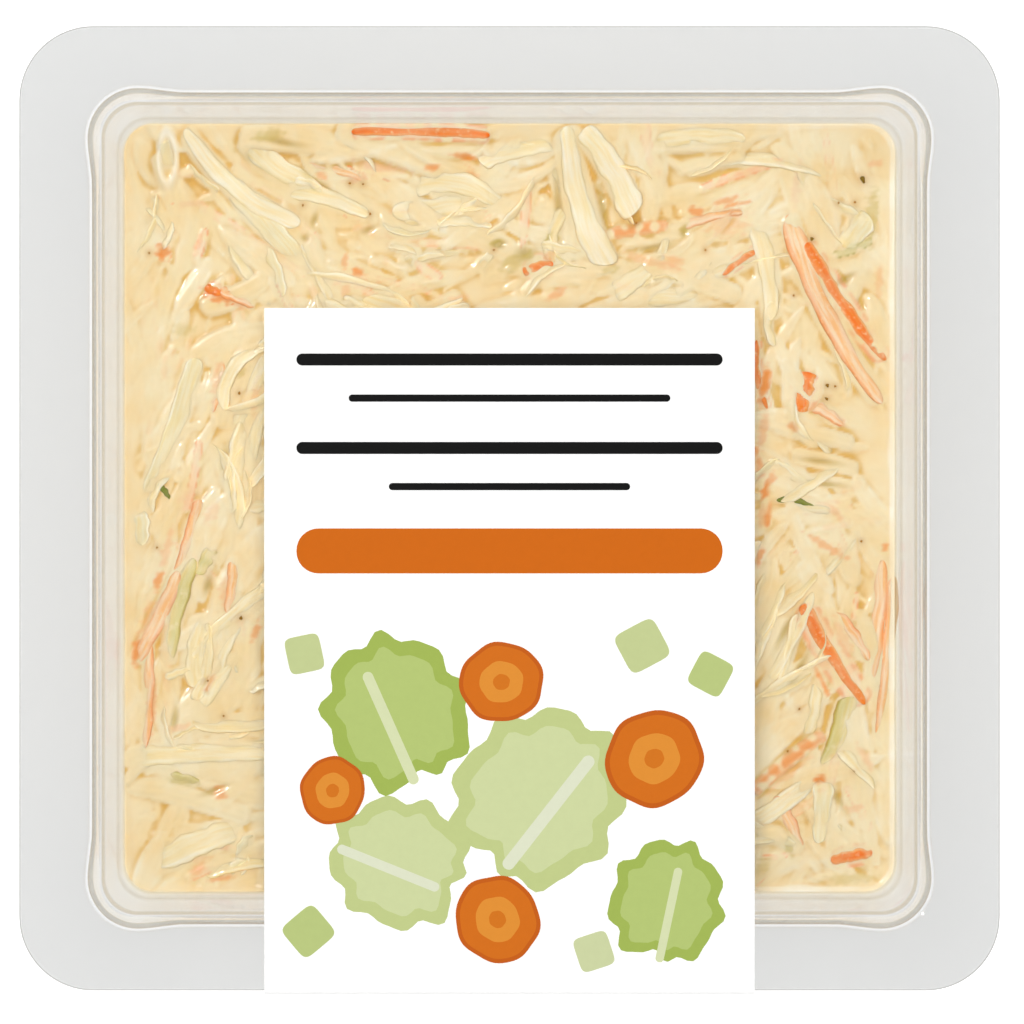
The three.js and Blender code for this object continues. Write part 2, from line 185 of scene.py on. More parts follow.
@dataclass
class Surface:
    """Points in mm, faces, and values that the material reads at each point."""

    points: Array
    quads: Array
    tris: Array = field(default_factory=lambda: np.zeros((0, 3), int))
    layers: dict[str, Array] = field(default_factory=dict)

    def triangles(self) -> Array:
        """All faces as triangles."""
        halves = [self.quads[:, [0, 1, 2]], self.quads[:, [0, 2, 3]], self.tris]
        return np.concatenate(halves)

    def facing_out(self) -> "Surface":
        """Turn every face round if the closed surface's volume comes out negative."""
        first, second, third = (self.points[corner] for corner in self.triangles().T)
        if np.einsum("ij,ij->", first, np.cross(second, third)) < 0:
            self.quads = self.quads[:, ::-1]
            self.tris = self.tris[:, ::-1]
        return self

    def without_spares(self) -> "Surface":
        """Drop the points that no face uses."""
        used = np.unique(np.concatenate([self.quads.ravel(), self.tris.ravel()]))
        place = np.zeros(len(self.points), int)
        place[used] = np.arange(len(used))
        self.points = self.points[used]
        self.quads, self.tris = place[self.quads], place[self.tris]
        self.layers = {name: values[used] for name, values in self.layers.items()}
        return self

    def joined(self, other: "Surface") -> "Surface":
        """This surface and another as one, with their layers end to end."""
        shift = len(self.points)
        return Surface(
            np.concatenate([self.points, other.points]),
            np.concatenate([self.quads, other.quads + shift]),
            np.concatenate([self.tris, other.tris + shift]),
            {name: np.concatenate([v, other.layers[name]]) for name, v in self.layers.items()},
        )

    def put(
        self,
        name: str,
        material: bpy.types.Material,
        slot: str,
        stands_for: tuple[str, ...] = (),
        crease: float | None = None,
    ) -> bpy.types.Object:
        """Make the Blender object, hang it on the root body and hide the nodes that it stands for.

        Args:
            name: The piece's name.
            material: Its material.
            slot: The record's material slot for it; not used.
            stands_for: Nodes of the part that it replaces.
            crease: Angle in degrees past which an edge stays sharp, or none.

        Returns:
            The new object, at the origin and unturned.
        """
        mesh = bpy.data.meshes.new(name)
        placed = self.points * MM + np.array([0.0, AXIS_Y, 0.0])
        corners = np.concatenate([self.quads.ravel(), self.tris.ravel()]).astype(np.int32)
        sizes = np.concatenate([np.full(len(self.quads), 4), np.full(len(self.tris), 3)])
        starts = np.concatenate([[0], np.cumsum(sizes)[:-1]]).astype(np.int32)
        mesh.vertices.add(len(placed))
        mesh.vertices.foreach_set("co", placed.astype(np.float32).ravel())
        mesh.loops.add(len(corners))
        mesh.loops.foreach_set("vertex_index", corners)
        mesh.polygons.add(len(sizes))
        mesh.polygons.foreach_set("loop_start", starts)
        mesh.update(calc_edges=True)
        mesh.validate()
        mesh.polygons.foreach_set("use_smooth", np.ones(len(mesh.polygons), bool))
        for layer, values in self.layers.items():
            if layer == "strand":
                stored = mesh.attributes.new(layer, "FLOAT_VECTOR", "POINT")
                stored.data.foreach_set("vector", values.astype(np.float32).ravel())
            else:
                stored = mesh.attributes.new(layer, "FLOAT_COLOR", "POINT")
                full = np.concatenate([values, np.ones((len(values), 1))], 1)
                stored.data.foreach_set("color", full.astype(np.float32).ravel())
        if crease is not None:
            mesh.set_sharp_from_angle(angle=math.radians(crease))
        mesh.materials.append(material)
        piece = bpy.data.objects.new(name, mesh)
        bpy.context.scene.collection.objects.link(piece)
        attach(piece, "root")
        if stands_for:
            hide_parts(*stands_for)
        log.info("%s: %d triangles", name, len(self.triangles()))
        return piece


@dataclass(frozen=True)
class Meshing:
    """How many points an outline has in each corner and along each side."""

    corner_points: int
    side_points: int
    lobe_reach: float = 6.0  # mm of side along which a corner's bulge fades


def rounded_outline(
    half_x: Array, half_y: Array, corner: Array, lobe: Array, meshing: Meshing
) -> Array:
    """Rounded rectangles, one for each station, anticlockwise from the +X end of a corner.

    Each corner is a quarter circle and each side a straight run whose points crowd towards
    its ends. A lobe moves the outline out along its own normal, fully round the corner and
    fading along the side.

    Args:
        half_x: Half-widths along X.
        half_y: Half-widths along Y.
        corner: Corner radii.
        lobe: Outward bulge at the corners.
        meshing: Points in each corner and side.

    Returns:
        An array of station, point and coordinate.
    """
    signs = np.array([[1, 1], [-1, 1], [-1, -1], [1, -1]], float)
    centres = signs[None] * (np.stack([half_x, half_y], -1) - corner[:, None])[:, None]
    turn = (np.arange(4)[:, None] + np.linspace(0, 1, meshing.corner_points)) * math.pi / 2
    ray = np.stack([np.cos(turn), np.sin(turn)], -1)
    arcs = centres[:, :, None] + (corner[:, None, None, None] * ray[None])
    starts, ends = arcs[:, :, -1], np.roll(arcs[:, :, 0], -1, axis=1)
    step = np.arange(1, meshing.side_points + 1) / (meshing.side_points + 1)
    share = (1 - np.cos(np.pi * step)) / 2
    sides = starts[:, :, None] + share[None, None, :, None] * (ends - starts)[:, :, None]
    run = np.linalg.norm(ends - starts, axis=-1)[..., None]
    fade = smooth(1 - np.minimum(share, 1 - share) * run / meshing.lobe_reach)
    sides = sides + (lobe[:, None, None] * fade)[..., None] * ray[None, :, -1:]
    arcs = arcs + lobe[:, None, None, None] * ray[None]
    return np.concatenate([arcs, sides], axis=2).reshape(len(half_x), -1, 2)


def rounded_square(u: Array, v: Array, half_x: float, half_y: float, corner: float) -> Array:
    """Bend a plain rectangle's corners round.

    Within the square corner cells, with a and b running 0 to 1 towards the corner, the
    point moves to a * sqrt(1 - b^2 / 2) and b * sqrt(1 - a^2 / 2), so that the cell's two
    outer sides become a quarter circle.

    Args:
        u: First coordinate of the plain rectangle, in mm.
        v: Second coordinate.
        half_x: Half-width along X.
        half_y: Half-width along Y.
        corner: Corner radius.

    Returns:
        The moved points, in two columns.
    """
    a = np.clip((np.abs(u) - (half_x - corner)) / corner, 0, 1)
    b = np.clip((np.abs(v) - (half_y - corner)) / corner, 0, 1)
    inner_x = np.minimum(np.abs(u), half_x - corner)
    inner_y = np.minimum(np.abs(v), half_y - corner)
    x = np.sign(u) * (inner_x + corner * a * np.sqrt(1 - b * b / 2))
    y = np.sign(v) * (inner_y + corner * b * np.sqrt(1 - a * a / 2))
    return np.stack([x, y], -1)


def bevelled_path(keys: Array, cuts: Array, steps: int, straights: int) -> Array:
    """A path through key stations with each inner key rounded off.

    Every inner key is replaced by a quadratic curve that starts and ends a cut's length from
    it, and each straight between two curves gets a few stations of its own.

    Args:
        keys: Stations in rows: half x, half y, corner, lobe and height.
        cuts: The length taken off on both sides of each key.
        steps: Stations on each curve.
        straights: Stations inside each straight.

    Returns:
        The finer stations in rows.
    """
    flat = keys[:, [0, 4]]
    legs = np.linalg.norm(np.diff(flat, axis=0), axis=1)
    into = keys[1:-1] + (keys[:-2] - keys[1:-1]) * (cuts[1:-1] / legs[:-1])[:, None]
    out = keys[1:-1] + (keys[2:] - keys[1:-1]) * (cuts[1:-1] / legs[1:])[:, None]
    t = np.linspace(0, 1, steps)[:, None, None]
    curves = (1 - t) ** 2 * into + 2 * t * (1 - t) * keys[1:-1] + t * t * out
    starts = np.concatenate([keys[:1], out])
    stops = np.concatenate([into, keys[-1:]])
    s = smooth(np.arange(1, straights + 1) / (straights + 1))[:, None, None]
    lines = starts + s * (stops - starts)
    middle = np.concatenate([lines[:, :-1], curves], axis=0)
    rows = middle.transpose(1, 0, 2).reshape(-1, keys.shape[1])
    return np.concatenate([keys[:1], rows, lines[:, -1], keys[-1:]])


def skin(rings: Array) -> Surface:
    """A closed skin through rings of points, with a fan at each end.

    Args:
        rings: Points by ring, place and coordinate; rings run anticlockwise from above and
            rise on the outside.

    Returns:
        The surface.
    """
    count, columns = rings.shape[:2]
    numbers = np.arange(count * columns).reshape(count, columns)
    points = np.concatenate([rings.reshape(-1, 3), rings[[0, -1]].mean(axis=1)])
    foot, head = count * columns, count * columns + 1
    tris = np.concatenate([fan(foot, numbers[0])[:, ::-1], fan(head, numbers[-1])])
    return Surface(points, band(numbers), tris)


# ---- Finishes ------------------------------------


MULTIPLY = {"data_type": "RGBA", "blend_type": "MULTIPLY"}
COLOUR_RESULT = 2  # the Mix node's colour output; its colour inputs are 6 and 7


def scale_of(size_mm: float) -> float:
    """Scale of a noise, per metre, whose features are this long."""
    return 1 / (size_mm * MM)


@dataclass(frozen=True)
class Finish:
    """A named finish; each kind of finish says what its surface is."""

    name: str

    def surface(self, tree: Tree) -> Socket:
        """Build the nodes and return the surface."""
        raise NotImplementedError

    def build(self) -> bpy.types.Material:
        """Make the material."""
        material = bpy.data.materials.new(self.name)
        material.use_nodes = True
        tree = material.node_tree
        tree.nodes.clear()
        output = tree.nodes.new("ShaderNodeOutputMaterial")
        tree.links.new(self.surface(tree), output.inputs["Surface"])
        return material


@dataclass(frozen=True)
class ClearSheet(Finish):
    """Clear PET sheet, thermoformed or as film, glossy on both faces.

    The eye gets what is behind it, a little dimmed, with sharp reflections that grow towards
    grazing angles, slow waves left by the forming, and thin dark lines and highlights, painted
    into its tint by height, where a tight bend spreads or gathers the light.
    """

    tint: str  # of the light that crosses one face
    wave_mm: float  # length of the forming waves
    wave_depth: float  # mm
    bends: tuple[tuple[float, str], ...] = ()  # height in mm and tint there, from low to high
    straight_on: float = 0.05  # share of light reflected square to a face, for PET
    roughness: float = 0.06

    def bent_tint(self, tree: Tree, place: Socket) -> object:
        """Tint of one crossing: plain, or times the attribute "clear" and the tint by height.

        The tint by height counts where the attribute "lined" is 1, on the inner face.

        Args:
            tree: The material's node tree.
            place: Object coordinates.

        Returns:
            A colour, or the output that gives it.
        """
        if not self.bends:
            return linear(self.tint)
        low, high = self.bends[0][0], self.bends[-1][0]
        height = add_node(tree, "SeparateXYZ", {0: place}, "Z")
        span = {"Value": height, "From Min": low * MM, "From Max": high * MM}
        by_height = add_node(tree, "ValToRGB", {0: add_node(tree, "MapRange", span)})
        stops = by_height.node.color_ramp.elements
        stops[0].color, stops[1].color = linear(self.bends[0][1]), linear(self.bends[-1][1])
        for at, colour in self.bends[1:-1]:
            stops.new((at - low) / (high - low)).color = linear(colour)
        clear = add_node(tree, "Attribute", output="Color", attribute_name="clear")
        inner = add_node(tree, "Attribute", output="Fac", attribute_name="lined")
        lined = add_node(tree, "Mix", {0: inner, 6: clear, 7: by_height}, COLOUR_RESULT, **MULTIPLY)
        plain = linear(self.tint)
        return add_node(tree, "Mix", {0: 1.0, 6: lined, 7: plain}, COLOUR_RESULT, **MULTIPLY)

    def surface(self, tree: Tree) -> Socket:
        """See-through and glossy, mixed by Schlick's Fresnel curve.

        The reflected share is r + (1 - r) * facing^5, the same on both faces of the sheet,
        because light leaves a thin sheet at the angle at which it came in.
        """
        place = add_node(tree, "TexCoord", output="Object")
        wavy = {"Vector": place, "Scale": scale_of(self.wave_mm), "Detail": 1.0}
        waves = add_node(tree, "TexNoise", wavy)
        depth = self.wave_depth * MM
        bumped = add_node(tree, "Bump", {"Height": waves, "Strength": 1.0, "Distance": depth})
        through = add_node(tree, "BsdfTransparent", {"Color": self.bent_tint(tree, place)})
        shine = {"Color": linear("#FFFFFF"), "Roughness": self.roughness, "Normal": bumped}
        gloss = add_node(tree, "BsdfAnisotropic", shine)
        facing = add_node(tree, "LayerWeight", {"Blend": 0.5, "Normal": bumped}, "Facing")
        steep = add_node(tree, "Math", {0: facing, 1: 5.0}, operation="POWER")
        edge = add_node(tree, "MapRange", {"Value": steep, "To Min": self.straight_on})
        return add_node(tree, "MixShader", {0: edge, 1: through, 2: gloss})


@dataclass(frozen=True)
class LabelStock(Finish):
    """White polypropylene label film, coated: smooth, even and almost matt."""

    name: str = "white_polypropylene_label"
    colour: str = "#FDFDFC"
    roughness: float = 0.42
    grain_mm: float = 0.5
    grain_depth: float = 0.003

    def surface(self, tree: Tree) -> Socket:
        """Bright and smooth with a fine coating grain."""
        place = add_node(tree, "TexCoord", output="Object")
        fine = {"Vector": place, "Scale": scale_of(self.grain_mm), "Detail": 3.0}
        grain = add_node(tree, "TexNoise", fine)
        depth = self.grain_depth * MM
        bumped = add_node(tree, "Bump", {"Height": grain, "Strength": 1.0, "Distance": depth})
        film = {"Base Color": linear(self.colour), "Roughness": self.roughness, "IOR": 1.49}
        return add_node(tree, "BsdfPrincipled", film | {"Normal": bumped})


@dataclass(frozen=True)
class Ink(Finish):
    """Flexographic ink under a thin varnish: flat colour, slightly shinier than the label."""

    name: str = "printed_ink"
    roughness: float = 0.32
    mottle_scale: float = 1200.0  # per metre
    mottle: float = 0.03  # how much lighter or darker its spots are

    def surface(self, tree: Tree) -> Socket:
        """The motif's own colour with a faint mottle of the ink's lay."""
        colour = add_node(tree, "Attribute", output="Color", attribute_name="ink")
        place = add_node(tree, "TexCoord", output="Object")
        spots = {"Vector": place, "Scale": self.mottle_scale, "Detail": 2.0}
        lay = {
            "Value": add_node(tree, "TexNoise", spots),
            "To Min": 1 - self.mottle,
            "To Max": 1 + self.mottle,
        }
        value = add_node(tree, "MapRange", lay)
        shade = add_node(tree, "HueSaturation", {"Color": colour, "Value": value})
        varnish = {"Roughness": self.roughness, "IOR": 1.5, "Specular IOR Level": 0.25}
        return add_node(tree, "BsdfPrincipled", {"Base Color": shade} | varnish)


@dataclass(frozen=True)
class Dressing(Finish):
    """Mayonnaise, a wet oil and egg emulsion over shreds: soft light inside, small glints."""

    name: str = "mayonnaise_dressing"
    roughness: float = 0.34
    drift_mm: float = 6.0  # slow drift of the colour
    drift_tint: str = "#FDEED2"
    fleck_mm: float = 0.9  # small uneven spots of oil and spice
    fleck_tint: str = "#F6DDA6"
    dimple_mm: float = 1.3
    dimple_depth: float = 0.06
    pore_mm: float = 0.35
    pore_depth: float = 0.022

    def surface(self, tree: Tree) -> Socket:
        """The painted tint, drifting slightly, over a soft wet emulsion with dimples and pores."""
        place = add_node(tree, "TexCoord", output="Object")
        sizes = (self.drift_mm, 2.0), (self.fleck_mm, 2.0), (self.dimple_mm, 1.5), (self.pore_mm, 2.0)
        drift, flecks, dimples, pores = (
            add_node(tree, "TexNoise", {"Vector": place, "Scale": scale_of(size), "Detail": detail})
            for size, detail in sizes
        )
        tint = add_node(tree, "Attribute", output="Color", attribute_name="tint")
        for noise, start, stop, most, colour in (
            (drift, 0.35, 0.68, 0.85, self.drift_tint),
            (flecks, 0.62, 0.8, 0.1, self.fleck_tint),
        ):
            span = {"Value": noise, "From Min": start, "From Max": stop, "To Max": most}
            mix = {0: add_node(tree, "MapRange", span), 6: tint, 7: linear(colour)}
            tint = add_node(tree, "Mix", mix, COLOUR_RESULT, **MULTIPLY)
        relief = {"Height": dimples, "Strength": 1.0, "Distance": self.dimple_depth * MM}
        rounded = add_node(tree, "Bump", relief)
        relief = {"Height": pores, "Strength": 1.0, "Distance": self.pore_depth * MM}
        emulsion = {
            "Base Color": tint,
            "Roughness": self.roughness,
            "IOR": 1.46,
            "Subsurface Weight": 0.45,
            "Subsurface Radius": (1.0, 0.75, 0.45),
            "Subsurface Scale": 1.0 * MM,
            "Coat Weight": 0.3,
            "Coat Roughness": 0.1,
            "Normal": add_node(tree, "Bump", relief | {"Normal": rounded}),
        }
        return add_node(tree, "BsdfPrincipled", emulsion, subsurface_method="BURLEY")


@dataclass(frozen=True)
class CutVegetable(Finish):
    """A raw cut shred, wet with dressing: fibres along it and patches of coat over them."""

    fibre: str  # what the fibres' lines are multiplied by
    coat: str
    coated: float  # share of the surface under a thin film of dressing
    coat_most: float = 0.8  # how thick the film looks where it is thickest
    glow: float = 0.35  # share of the light that goes through the flesh
    roughness: float = 0.28
    fibre_mm: float = 0.45
    patch_mm: float = 1.1
    lump_depth: float = 0.1  # mm of the unevenness under the film
    gloss: float = 0.3  # strength of the mirror-like part, so that steep sides stay warm

    def surface(self, tree: Tree) -> Socket:
        """Painted flesh with streaks along the strand, and the coat's patches over it."""
        tint = add_node(tree, "Attribute", output="Color", attribute_name="tint")
        strand = add_node(tree, "Attribute", output="Vector", attribute_name="strand")
        drawn_out = {"Vector": strand, "Scale": (0.25, 1 / self.fibre_mm, 7.3)}
        fibres = {"Vector": add_node(tree, "Mapping", drawn_out), "Scale": 1.0, "Detail": 2.0}
        streak = add_node(tree, "TexNoise", fibres)
        share = add_node(tree, "MapRange", {"Value": streak, "From Min": 0.38, "From Max": 0.66})
        mix = {0: share, 6: tint, 7: linear(self.fibre)}
        flesh = add_node(tree, "Mix", mix, COLOUR_RESULT, **MULTIPLY)
        place = add_node(tree, "TexCoord", output="Object")
        patchy = {"Vector": place, "Scale": scale_of(self.patch_mm), "Detail": 3.0}
        cloud = add_node(tree, "TexNoise", patchy)
        start = 0.72 - 0.45 * self.coated
        span = {"Value": cloud, "From Min": start, "From Max": start + 0.32, "To Max": self.coat_most}
        patch = add_node(tree, "MapRange", span, interpolation_type="SMOOTHSTEP")
        mix = {0: patch, 6: flesh, 7: linear(self.coat)}
        relief = {"Height": cloud, "Strength": 1.0, "Distance": self.lump_depth * MM}
        wet = {
            "Base Color": add_node(tree, "Mix", mix, COLOUR_RESULT, data_type="RGBA"),
            "Roughness": self.roughness,
            "IOR": 1.4,
            "Specular IOR Level": self.gloss,
            "Subsurface Weight": self.glow,
            "Subsurface Radius": (1.0, 0.8, 0.5),
            "Subsurface Scale": 0.8 * MM,
            "Coat Weight": self.gloss * 0.5,
            "Coat Roughness": 0.1,
            "Normal": add_node(tree, "Bump", relief),
        }
        return add_node(tree, "BsdfPrincipled", wet, subsurface_method="BURLEY")


# ---- Tub -----------------------------------------


def wall_half(z: Array | float) -> Array | float:
    """Half-width of the cavity's plain wall at a height: it tapers 7 degrees to the base."""
    return FOOD_HALF - (FOOD_LEVEL - z) * WALL_TAPER


SHEET_TINTS_AND_LIGHT_LINES = (
    # height above the table in mm and tint: a warm band just over the salad's edge; painted dark lines
    # and highlights where a bend spreads or gathers the light, at the stacking ledge's corner, the
    # small step under the lip and the lip's bend; and the flange's grey
    (FOOD_LEVEL - 0.2, "#FFFFFF"),
    (FOOD_LEVEL + 0.4, "#F6EED6"),
    (FOOD_LEVEL + 0.9, "#F3E9CE"),
    (FOOD_LEVEL + 1.6, "#F4F0E4"),
    (FOOD_LEVEL + 2.4, "#EDE9DF"),
    (FOOD_LEVEL + 3.1, "#E4DFD2"),
    (FOOD_LEVEL + 4.0, "#F0EEE8"),
    (RIM - 5.3, "#EEEBE4"),
    (RIM - 5.1, "#E2D9C6"),
    (RIM - 4.9, "#DDD3BF"),
    (RIM - 4.7, "#F4F4F2"),
    (RIM - 2.0, "#F2F2F0"),
    (RIM - 1.6, "#D9D7CF"),
    (RIM - 1.2, "#D2CEC4"),
    (RIM - 0.9, "#C4BDB0"),
    (RIM - 0.7, "#F0EEE9"),
    (RIM - 0.45, "#FFFFFF"),
    (RIM - 0.25, "#F4F3F0"),
    (RIM - 0.1, "#E6E5E1"),
    (RIM + 0.1, "#E7E6E2"),
)


@dataclass
class Tub:
    """The clear formed tray with its flange, stacking ledge and raised base panel."""

    sheet: float = 0.5
    flange_x: float = 61.0
    flange_y: float = 60.0
    flange_corner: float = 9.2
    base_round: float = 5.5
    base_corner: float = 11.0
    panel_inset: float = 5.0
    panel_rise: float = 1.0
    rim_line: float = 0.22  # width of the painted shade line along the flange's cut edge
    rim_shade_tint: str = "#DCDCDA"
    meshing: Meshing = Meshing(18, 32)

    def stations(self) -> Array:
        """Inner face from the flange's edge to the floor's middle.

        Rows of half x, half y, corner, lobe and height, rounded at each key: lip, the small
        step under it, stacking ledge, tapered wall, floor and raised panel.
        """
        floor = self.sheet
        foot = wall_half(floor)
        panel = foot - self.base_round - self.panel_inset
        short = np.array([0.0, -SHORT_IN_Y, 0.0, 0.0, 0.0])
        inner = np.array(
            [
                [52.15, 52.15, 5.9, 0.55, RIM],
                [51.95, 51.95, 5.6, 0.55, RIM - 1.1],
                [51.6, 51.6, 5.3, 0.5, RIM - 1.4],
                [51.35, 51.35, 4.5, 0.0, RIM - 4.8],
                [50.85, 50.85, 4.3, 0.0, RIM - 5.2],
                [FOOD_HALF, FOOD_HALF, FOOD_CORNER, 0.0, FOOD_LEVEL],
                [foot, foot, self.base_corner, 0.0, floor],
                [panel, panel, self.base_corner / 2, 0.0, floor],
                [panel - 1.0, panel - 1.0, self.base_corner / 2, 0.0, floor + self.panel_rise],
                [0.6, 0.6, 0.3, 0.0, floor + self.panel_rise],
            ]
        )
        edge = np.array([self.flange_x, self.flange_y, self.flange_corner, 0.0, RIM])
        inside = edge - self.rim_line * np.array([1.0, 1.0, 1.0, 0.0, 0.0])
        keys = np.concatenate([[edge, inside], inner + short])
        cuts = np.array([0, 0.05, 0.8, 0.2, 0.2, 0.3, 0.3, 2.0, 5.2, 0.5, 0.5, 0])
        return bevelled_path(keys, cuts, steps=7, straights=3)

    def surface(self) -> Surface:
        """The closed shell: inner face, and the same face moved out by the sheet's thickness.

        The outer face is the inner one moved along the profile's own normal, and corners grow
        by the same amount, so the sheet is equally thick all round. The flange's cut edge
        joins the two.
        """
        inner = self.stations()
        slope = np.gradient(inner[:, [0, 4]], axis=0)
        slope /= np.linalg.norm(slope, axis=1)[:, None]
        out = np.stack([-slope[:, 1], slope[:, 0]], -1) * self.sheet
        outer = inner.copy()
        outer[:, :3] += out[:, :1]
        outer[:, 4] = np.maximum(outer[:, 4] + out[:, 1], 0.0)
        outer[0] = inner[0] - np.array([0, 0, 0, 0, self.sheet])
        profile = np.concatenate([outer[::-1], inner])
        rings = rounded_outline(*profile[:, :4].T, self.meshing)
        heights = np.broadcast_to(profile[:, 4, None], rings.shape[:2])
        shell = skin(np.concatenate([rings, heights[..., None]], -1)).facing_out()
        # painted shade along the flange's cut edge, where the sheet is seen edge-on
        at_edge = (profile[:, 0] > self.flange_x - self.rim_line / 4)[:, None, None]
        clear = np.where(at_edge, rgb(self.rim_shade_tint), 1.0)
        clear = np.broadcast_to(clear, (*rings.shape[:2], 3)).reshape(-1, 3)
        shell.layers["clear"] = np.concatenate([clear, np.ones((2, 3))])
        inner_face = (np.arange(len(profile)) >= len(outer)).astype(float)
        lined = np.repeat(inner_face, rings.shape[1])
        shell.layers["lined"] = np.concatenate([lined, [0.0, 1.0]])[:, None] * np.ones(3)
        return shell

    def build(self, finish: ClearSheet) -> None:
        """Make the piece in the tray's place."""
        self.surface().put("tray", finish.build(), "tray_plastic", ("tub",), crease=40)


@dataclass
class Film:
    """The clear peel film, sealed flat on the flange and a little slack over the mouth."""

    half_x: float = 60.7
    half_y: float = 59.7
    corner: float = 8.9
    thickness: float = 0.1
    seal: float = 0.015  # adhesive between flange and film, so the two faces don't coincide
    slack: float = 0.22
    slack_from: float = 51.5  # half-width where the film leaves its seal
    slack_reach: float = 16.0  # width over which it sinks to its full slack
    steps: int = 110

    def surface(self) -> Surface:
        """A closed sheet: the slack is a shallow bowl inside the mouth plus faint ripples."""
        u, v = np.meshgrid(
            np.linspace(-self.half_x, self.half_x, self.steps),
            np.linspace(-self.half_y, self.half_y, self.steps),
            indexing="ij",
        )
        xy = rounded_square(u, v, self.half_x, self.half_y, self.corner)
        reach = np.maximum(np.abs(xy[..., 0]), np.abs(xy[..., 1]))
        inside = smooth((self.slack_from - reach) / self.slack_reach)
        sag = inside * self.slack * (1 + 0.35 * ripples(u, v, 30.0, 5))
        upper = np.concatenate([xy, (RIM + self.thickness - sag)[..., None]], -1)
        lower = upper - np.array([0, 0, self.thickness - self.seal])
        count = self.steps * self.steps
        numbers = np.arange(count).reshape(self.steps, self.steps)
        rim = edge_loop(numbers)
        return Surface(
            np.concatenate([lower.reshape(-1, 3), upper.reshape(-1, 3)]),
            np.concatenate(
                [
                    sheet_quads(numbers)[:, ::-1],
                    sheet_quads(numbers + count),
                    band(np.stack([rim, rim + count])),
                ]
            ),
        ).facing_out()

    def build(self, finish: ClearSheet) -> None:
        """Make the piece in the film's place."""
        self.surface().put("peel_film", finish.build(), "lid_film", ("lid_film",), crease=40)


def edge_loop(numbers: Array) -> Array:
    """The outer vertices of an open grid, anticlockwise where the first axis is X."""
    return np.concatenate(
        [numbers[:-1, 0], numbers[-1, :-1], numbers[:0:-1, -1], numbers[0, :0:-1]]
    )


# ---- Label ---------------------------------------


class Motif(Enum):
    """Plain printed shapes, each given by its radius against its turn."""

    BAR = "bar"
    COIN = "coin"
    LEAF = "leaf"
    DICE = "dice"


@dataclass(frozen=True)
class Print:
    """One printed shape: where it lies on the label, its size, turn and colour."""

    motif: Motif
    across: float  # mm from the label's middle
    along: float  # mm from the label's back edge
    width: float
    height: float
    turn: float  # degrees
    colour: str


def coin(across: float, along: float, size: float, turn: float) -> list[Print]:
    """A slice of carrot: skin, flesh, a paler core and a small heart."""
    shades = [("#BE5A10", 1.0), ("#CC6A14", 0.9), ("#D98A30", 0.52), ("#CC7018", 0.2)]
    return [
        Print(Motif.COIN, across, along, size * share, size * share * 0.94, turn, shade)
        for shade, share in shades
    ]


def leaf(across: float, along: float, size: float, turn: float, pale: bool) -> list[Print]:
    """A rounded salad leaf: blade, inner blade and a light midrib."""
    shades = ("#BAC584", "#C6CF9A", "#D6DAC0") if pale else ("#9CB052", "#AEBF70", "#CFD6AA")
    blade, inner, rib = shades
    turned = math.radians(turn)
    away = size * 0.1
    rib_across, rib_along = across - away * math.sin(turned), along + away * math.cos(turned)
    return [
        Print(Motif.LEAF, across, along, size, size * 1.12, turn, blade),
        Print(Motif.LEAF, across, along, size * 0.78, size * 0.9, turn, inner),
        Print(Motif.BAR, rib_across, rib_along, size * 0.07, size * 0.8, turn, rib),
    ]


